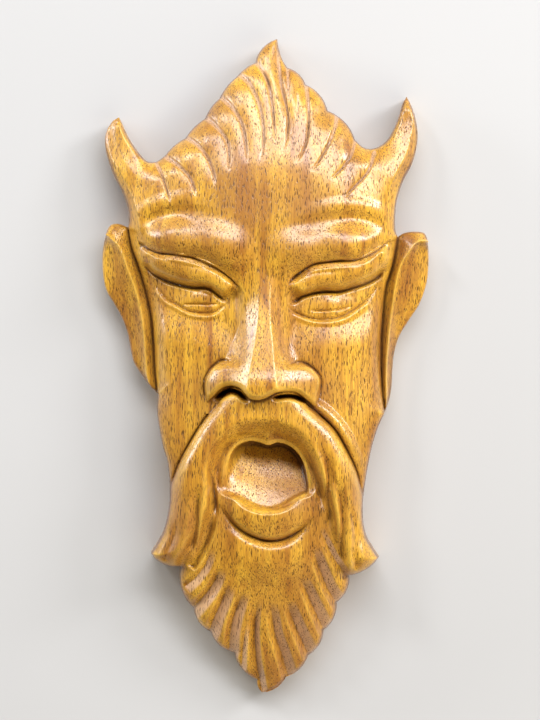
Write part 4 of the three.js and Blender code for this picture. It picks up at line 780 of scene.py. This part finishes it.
def wall_rows():
    """Rows of points from the edge down the sawn wall and round its eased back edge to the table."""
    inward, room = room_inside()
    tops = height[:len(outline)]
    rows_down = []
    for step in range(1, WALL_ROWS + EASE_ROWS + 1):
        if step <= WALL_ROWS:
            down = step / WALL_ROWS
            inset = WALL_TAPER * down
            z = tops + (BACK_EASE - tops) * down
        else:
            turn = math.pi / 2 * (step - WALL_ROWS) / EASE_ROWS
            inset = WALL_TAPER + BACK_EASE * (1 - math.cos(turn))
            z = np.full(len(outline), BACK_EASE * (1 - math.sin(turn)))
        shift = np.minimum(inset, TIP_SHARE * room)[:, None]
        rows_down.append(np.column_stack((outline + inward * shift, z)))
    return rows_down


def wall_faces(front_count, row_count):
    """Faces between the rows of the wall, and the flat back last."""
    count = len(outline)
    faces = []
    upper = 0
    for row in range(row_count):
        lower = front_count + row * count
        for i in range(count):
            j = (i + 1) % count
            faces.append((upper + i, lower + i, lower + j, upper + j))
        upper = lower
    faces.append(tuple(range(upper + count - 1, upper - 1, -1)))
    return faces


def carve_mask():
    """The whole mask as one mesh, with the two values that its finish reads at each point."""
    count = len(outline)
    level = np.full(on_board.shape, np.nan)
    level[on_board] = height[count:]
    kept = np.concatenate((np.ones(count, bool), chosen_points(level)))
    hollow = np.concatenate((np.zeros(count), hollows(level)))[kept]
    front = np.column_stack((x, y, height))[kept]
    plan = front[:, :2].tolist()
    facets = delaunay_2d_cdt(plan, [], [list(range(count))], ONLY_INSIDE, MERGED_WITHIN)[2]
    walls = wall_rows()
    faces = [tuple(facet) for facet in facets] + wall_faces(len(front), len(walls))
    mesh = bpy.data.meshes.new("satyr_mask_wood")
    mesh.from_pydata((np.vstack([front, *walls]) * MM).tolist(), [], faces)
    mesh.polygons.foreach_set("use_smooth", [True] * (len(faces) - 1) + [False])
    lie = np.clip(hollow / HOLLOW_FULL, -HOLLOW_LIMIT, HOLLOW_LIMIT)
    for name, values in (("hollow", lie), ("cut_and_sheen", cut_and_sheen[kept])):
        stored = np.zeros(len(mesh.vertices))
        stored[:len(front)] = values
        mesh.attributes.new(name, "FLOAT", "POINT").data.foreach_set("value", stored)
    mesh.set_sharp_from_angle(angle=math.radians(SHARP_ANGLE))
    mesh.validate()
    mask = bpy.data.objects.new("satyr_mask_wood", mesh)
    bpy.context.collection.objects.link(mask)
    return mask


mask = carve_mask()
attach(mask, "root")
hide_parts("satyr_mask")

# The oiled wood
# Golden-brown hardwood with the grain along the face: darker amber streaks, fine fibres and short
# dark pores that show as dots on the end grain. It is painted paler where a gouge cut it, partly as cut
# wood and partly as painted sheen, with painted shade in the hollows and a painted highlight on the
# ridges, and finished with a thin satin varnish that leaves the pores open.
METRE = 1000
SMALLEST_PORES = 0.2
PORE_RIM = 0.07
MIX_BELOW = 6
MIX_ABOVE = 7
MIX_RESULT = 2
wood = bpy.data.materials.new("oiled_hardwood")
wood.use_nodes = True
tree = wood.node_tree
tree.nodes.clear()


def node(kind, inputs=None, **settings):
    """A node of the wood's finish; an input that is another node's output is joined to it."""
    made = tree.nodes.new(kind)
    for name, value in settings.items():
        setattr(made, name, value)
    for name, value in (inputs or {}).items():
        if isinstance(value, bpy.types.NodeSocket):
            tree.links.new(value, made.inputs[name])
        else:
            made.inputs[name].default_value = value
    return made


def along_grain(across, along):
    """Place on the board, scaled so that these lengths in millimetres across and along the grain are 1."""
    stretch = (METRE / across, METRE / along, METRE / across)
    return node("ShaderNodeMapping", {"Vector": place, "Scale": stretch}).outputs["Vector"]


def steps(value, *stops):
    """A colour read from a ramp of (place, colour) stops."""
    ramp = node("ShaderNodeValToRGB", {"Fac": value})
    bar = ramp.color_ramp
    while len(bar.elements) < len(stops):
        bar.elements.new(0.5)
    for element, (at, colour) in zip(bar.elements, stops):
        element.position = at
        element.color = (*colour, 1)
    return ramp.outputs["Color"]


def spread(value, low, high, to_low=0.0, to_high=1.0):
    """A value brought from one range to another and held at its ends."""
    inputs = {"Value": value, "From Min": low, "From Max": high, "To Min": to_low, "To Max": to_high}
    return node("ShaderNodeMapRange", inputs, clamp=True).outputs["Result"]


def mixed(share, below, above):
    """One colour laid over another by a share from 0 to 1."""
    mix = node("ShaderNodeMix", {"Factor": share}, data_type="RGBA")
    for socket, value in ((mix.inputs[MIX_BELOW], below), (mix.inputs[MIX_ABOVE], above)):
        if isinstance(value, bpy.types.NodeSocket):
            tree.links.new(value, socket)
        else:
            socket.default_value = (*value, 1)
    return mix.outputs[MIX_RESULT]


place = node("ShaderNodeTexCoord").outputs["Object"]
streaks = node("ShaderNodeTexNoise", {"Vector": along_grain(5, 70), "Scale": 1, "Detail": 5,
                                      "Roughness": 0.6, "Distortion": 0.4}).outputs["Fac"]
fibres = node("ShaderNodeTexNoise", {"Vector": along_grain(0.32, 7), "Scale": 1, "Detail": 2,
                                     "Roughness": 0.6}).outputs["Fac"]
clouds = node("ShaderNodeTexNoise", {"Vector": along_grain(22, 34), "Scale": 1, "Detail": 3}).outputs["Fac"]
hollow = node("ShaderNodeAttribute", attribute_name="hollow").outputs["Fac"]
cut_and_sheen_marks = node("ShaderNodeAttribute", attribute_name="cut_and_sheen").outputs["Fac"]


def pores(across, along, smallest, largest):
    """Short open pores, thin as a hair and drawn out along the grain; a fifth of them are the smallest."""
    cells = node("ShaderNodeTexVoronoi", {"Vector": along_grain(across, along), "Scale": 1, "Randomness": 1})
    number = node("ShaderNodeSeparateColor", {"Color": cells.outputs["Color"]}).outputs["Red"]
    reach = node("ShaderNodeMath", {0: spread(number, SMALLEST_PORES, 1.0, smallest, largest),
                                    1: cells.outputs["Distance"]}, operation="SUBTRACT").outputs[0]
    return spread(reach, 0.0, PORE_RIM)


fine_pores = pores(0.31, 2.2, 0.16, 0.44)
long_pores = pores(0.50, 4.2, 0.10, 0.38)
all_pores = node("ShaderNodeMath", {0: fine_pores, 1: long_pores}, operation="MAXIMUM").outputs[0]

gold = steps(streaks, (0.32, (0.34, 0.125, 0.012)), (0.45, (0.58, 0.275, 0.022)),
             (0.60, (0.76, 0.41, 0.036)), (0.72, (0.42, 0.170, 0.016)))
toned = mixed(spread(clouds, 0.42, 0.66, 0.0, 0.7), gold, (0.34, 0.132, 0.022))
fibred = mixed(spread(fibres, 0.42, 0.66, 0.0, 0.5), toned, (0.20, 0.072, 0.010))
# Painted paler where marked: partly the cut wood's own tone, partly a painted sheen on trough and beard
# faces.
cut_wood_and_sheen = mixed(spread(cut_and_sheen_marks, 0.0, 1.0, 0.0, 0.75), fibred, (0.62, 0.370, 0.205))
# Painted shade: the wood is darkened where it lies below its surroundings, in creases and recesses.
shaded_hollows = mixed(spread(hollow, 0.35, 1.5, 0.0, 0.8), cut_wood_and_sheen, (0.11, 0.038, 0.009))
pored = mixed(spread(all_pores, 0.0, 1.0, 0.0, 0.9), shaded_hollows, (0.06, 0.022, 0.005))
# Painted highlight: ridges and other points standing above their surroundings are laid paler and yellower.
lit_ridges = mixed(spread(hollow, -0.2, -1.0, 0.0, 0.45), pored, (0.90, 0.54, 0.07))

rough = spread(clouds, 0.3, 0.7, 0.34, 0.46)
varnished = spread(all_pores, 0.0, 1.0, 1.0, 0.0)
fibre_bump = node("ShaderNodeBump", {"Strength": 0.5, "Distance": 0.00008, "Height": fibres})
pore_bump = node("ShaderNodeBump", {"Strength": 0.5, "Distance": 0.00012, "Height": all_pores,
                                    "Normal": fibre_bump.outputs["Normal"]}, invert=True)
finish = node("ShaderNodeBsdfPrincipled", {
    "Base Color": lit_ridges, "Roughness": rough, "Normal": pore_bump.outputs["Normal"], "IOR": 1.5,
    "Specular IOR Level": 0.3, "Coat Weight": varnished, "Coat Roughness": 0.25, "Coat IOR": 1.5,
    "Coat Normal": pore_bump.outputs["Normal"]})
node("ShaderNodeOutputMaterial", {"Surface": finish.outputs["BSDF"]})
mask.data.materials.append(wood)

# The table
# A plain pale top for the mask to lie on.
TABLE_SIDE = 3.0


def lay_table():
    """The table top, as stage for the picture."""
    half = TABLE_SIDE / 2
    corners = [(-half, -half, 0), (half, -half, 0), (half, half, 0), (-half, half, 0)]
    mesh = bpy.data.meshes.new("table_top")
    mesh.from_pydata(corners, [], [(0, 1, 2, 3)])
    table = bpy.data.objects.new("table_top", mesh)
    bpy.context.collection.objects.link(table)
    paint = bpy.data.materials.new("pale_paint")
    paint.use_nodes = True
    shader = paint.node_tree.nodes["Principled BSDF"]
    shader.inputs["Base Color"].default_value = (0.50, 0.49, 0.475, 1)
    shader.inputs["Roughness"].default_value = 0.7
    mesh.materials.append(paint)


lay_table()

# The light and the camera
# Daylight from a wide window beyond the crest, small cool lamps to the left and right for the glints, a
# warm fill from the beard's side, and the camera straight above, as the photograph was taken.
FRAME_HEIGHT = 0.2415
FRAME_CENTRE = (0.0015, 0.0020)
CAMERA_HEIGHT = 0.75
EDGE_LEVEL = 0.010
SENSOR = 36.0
LIGHT_AIM = (0, 0, 0.01)
ROOM_GLOW = 0.08


def hang_light(name, at, size, power, colour):
    """A lamp with a rectangular face, turned to the middle of the mask."""
    lamp = bpy.data.lights.new(name, "AREA")
    lamp.shape = "RECTANGLE"
    lamp.size, lamp.size_y = size
    lamp.energy = power
    lamp.color = colour
    light = bpy.data.objects.new(name, lamp)
    light.location = at
    away_from_mask = light.location - Vector(LIGHT_AIM)
    light.rotation_mode = "QUATERNION"
    light.rotation_quaternion = away_from_mask.to_track_quat("Z", "Y")
    bpy.context.collection.objects.link(light)
    return light


hang_light("window_light", (0.30, 0.88, 1.05), (1.8, 0.46), 29, (0.93, 0.95, 1.0))
hang_light("left_window_light", (-1.2, 1.4, 1.1), (0.40, 0.40), 14, (0.92, 0.95, 1.0))
hang_light("left_light", (-1.2, 0.50, 0.22), (0.5, 0.35), 10, (0.90, 0.94, 1.0))
hang_light("right_light", (1.2, 0.68, 0.64), (0.40, 0.40), 14, (0.93, 0.95, 1.0))
room_light = hang_light("room_light", (0.8, -1.2, 0.9), (2.2, 1.6), 22, (1.0, 0.90, 0.72))
room_light.visible_glossy = False

world = bpy.data.worlds.new("soft_room")
world.use_nodes = True
world.node_tree.nodes["Background"].inputs["Color"].default_value = (1.0, 0.98, 0.95, 1)
world.node_tree.nodes["Background"].inputs["Strength"].default_value = ROOM_GLOW
bpy.context.scene.world = world
bpy.context.scene.view_settings.view_transform = "Standard"

lens = bpy.data.cameras.new("camera")
lens.sensor_width = SENSOR
lens.lens = SENSOR * (CAMERA_HEIGHT - EDGE_LEVEL) / FRAME_HEIGHT
camera = bpy.data.objects.new("camera", lens)
camera.location = (*FRAME_CENTRE, CAMERA_HEIGHT)
bpy.context.collection.objects.link(camera)
bpy.context.scene.camera = camera
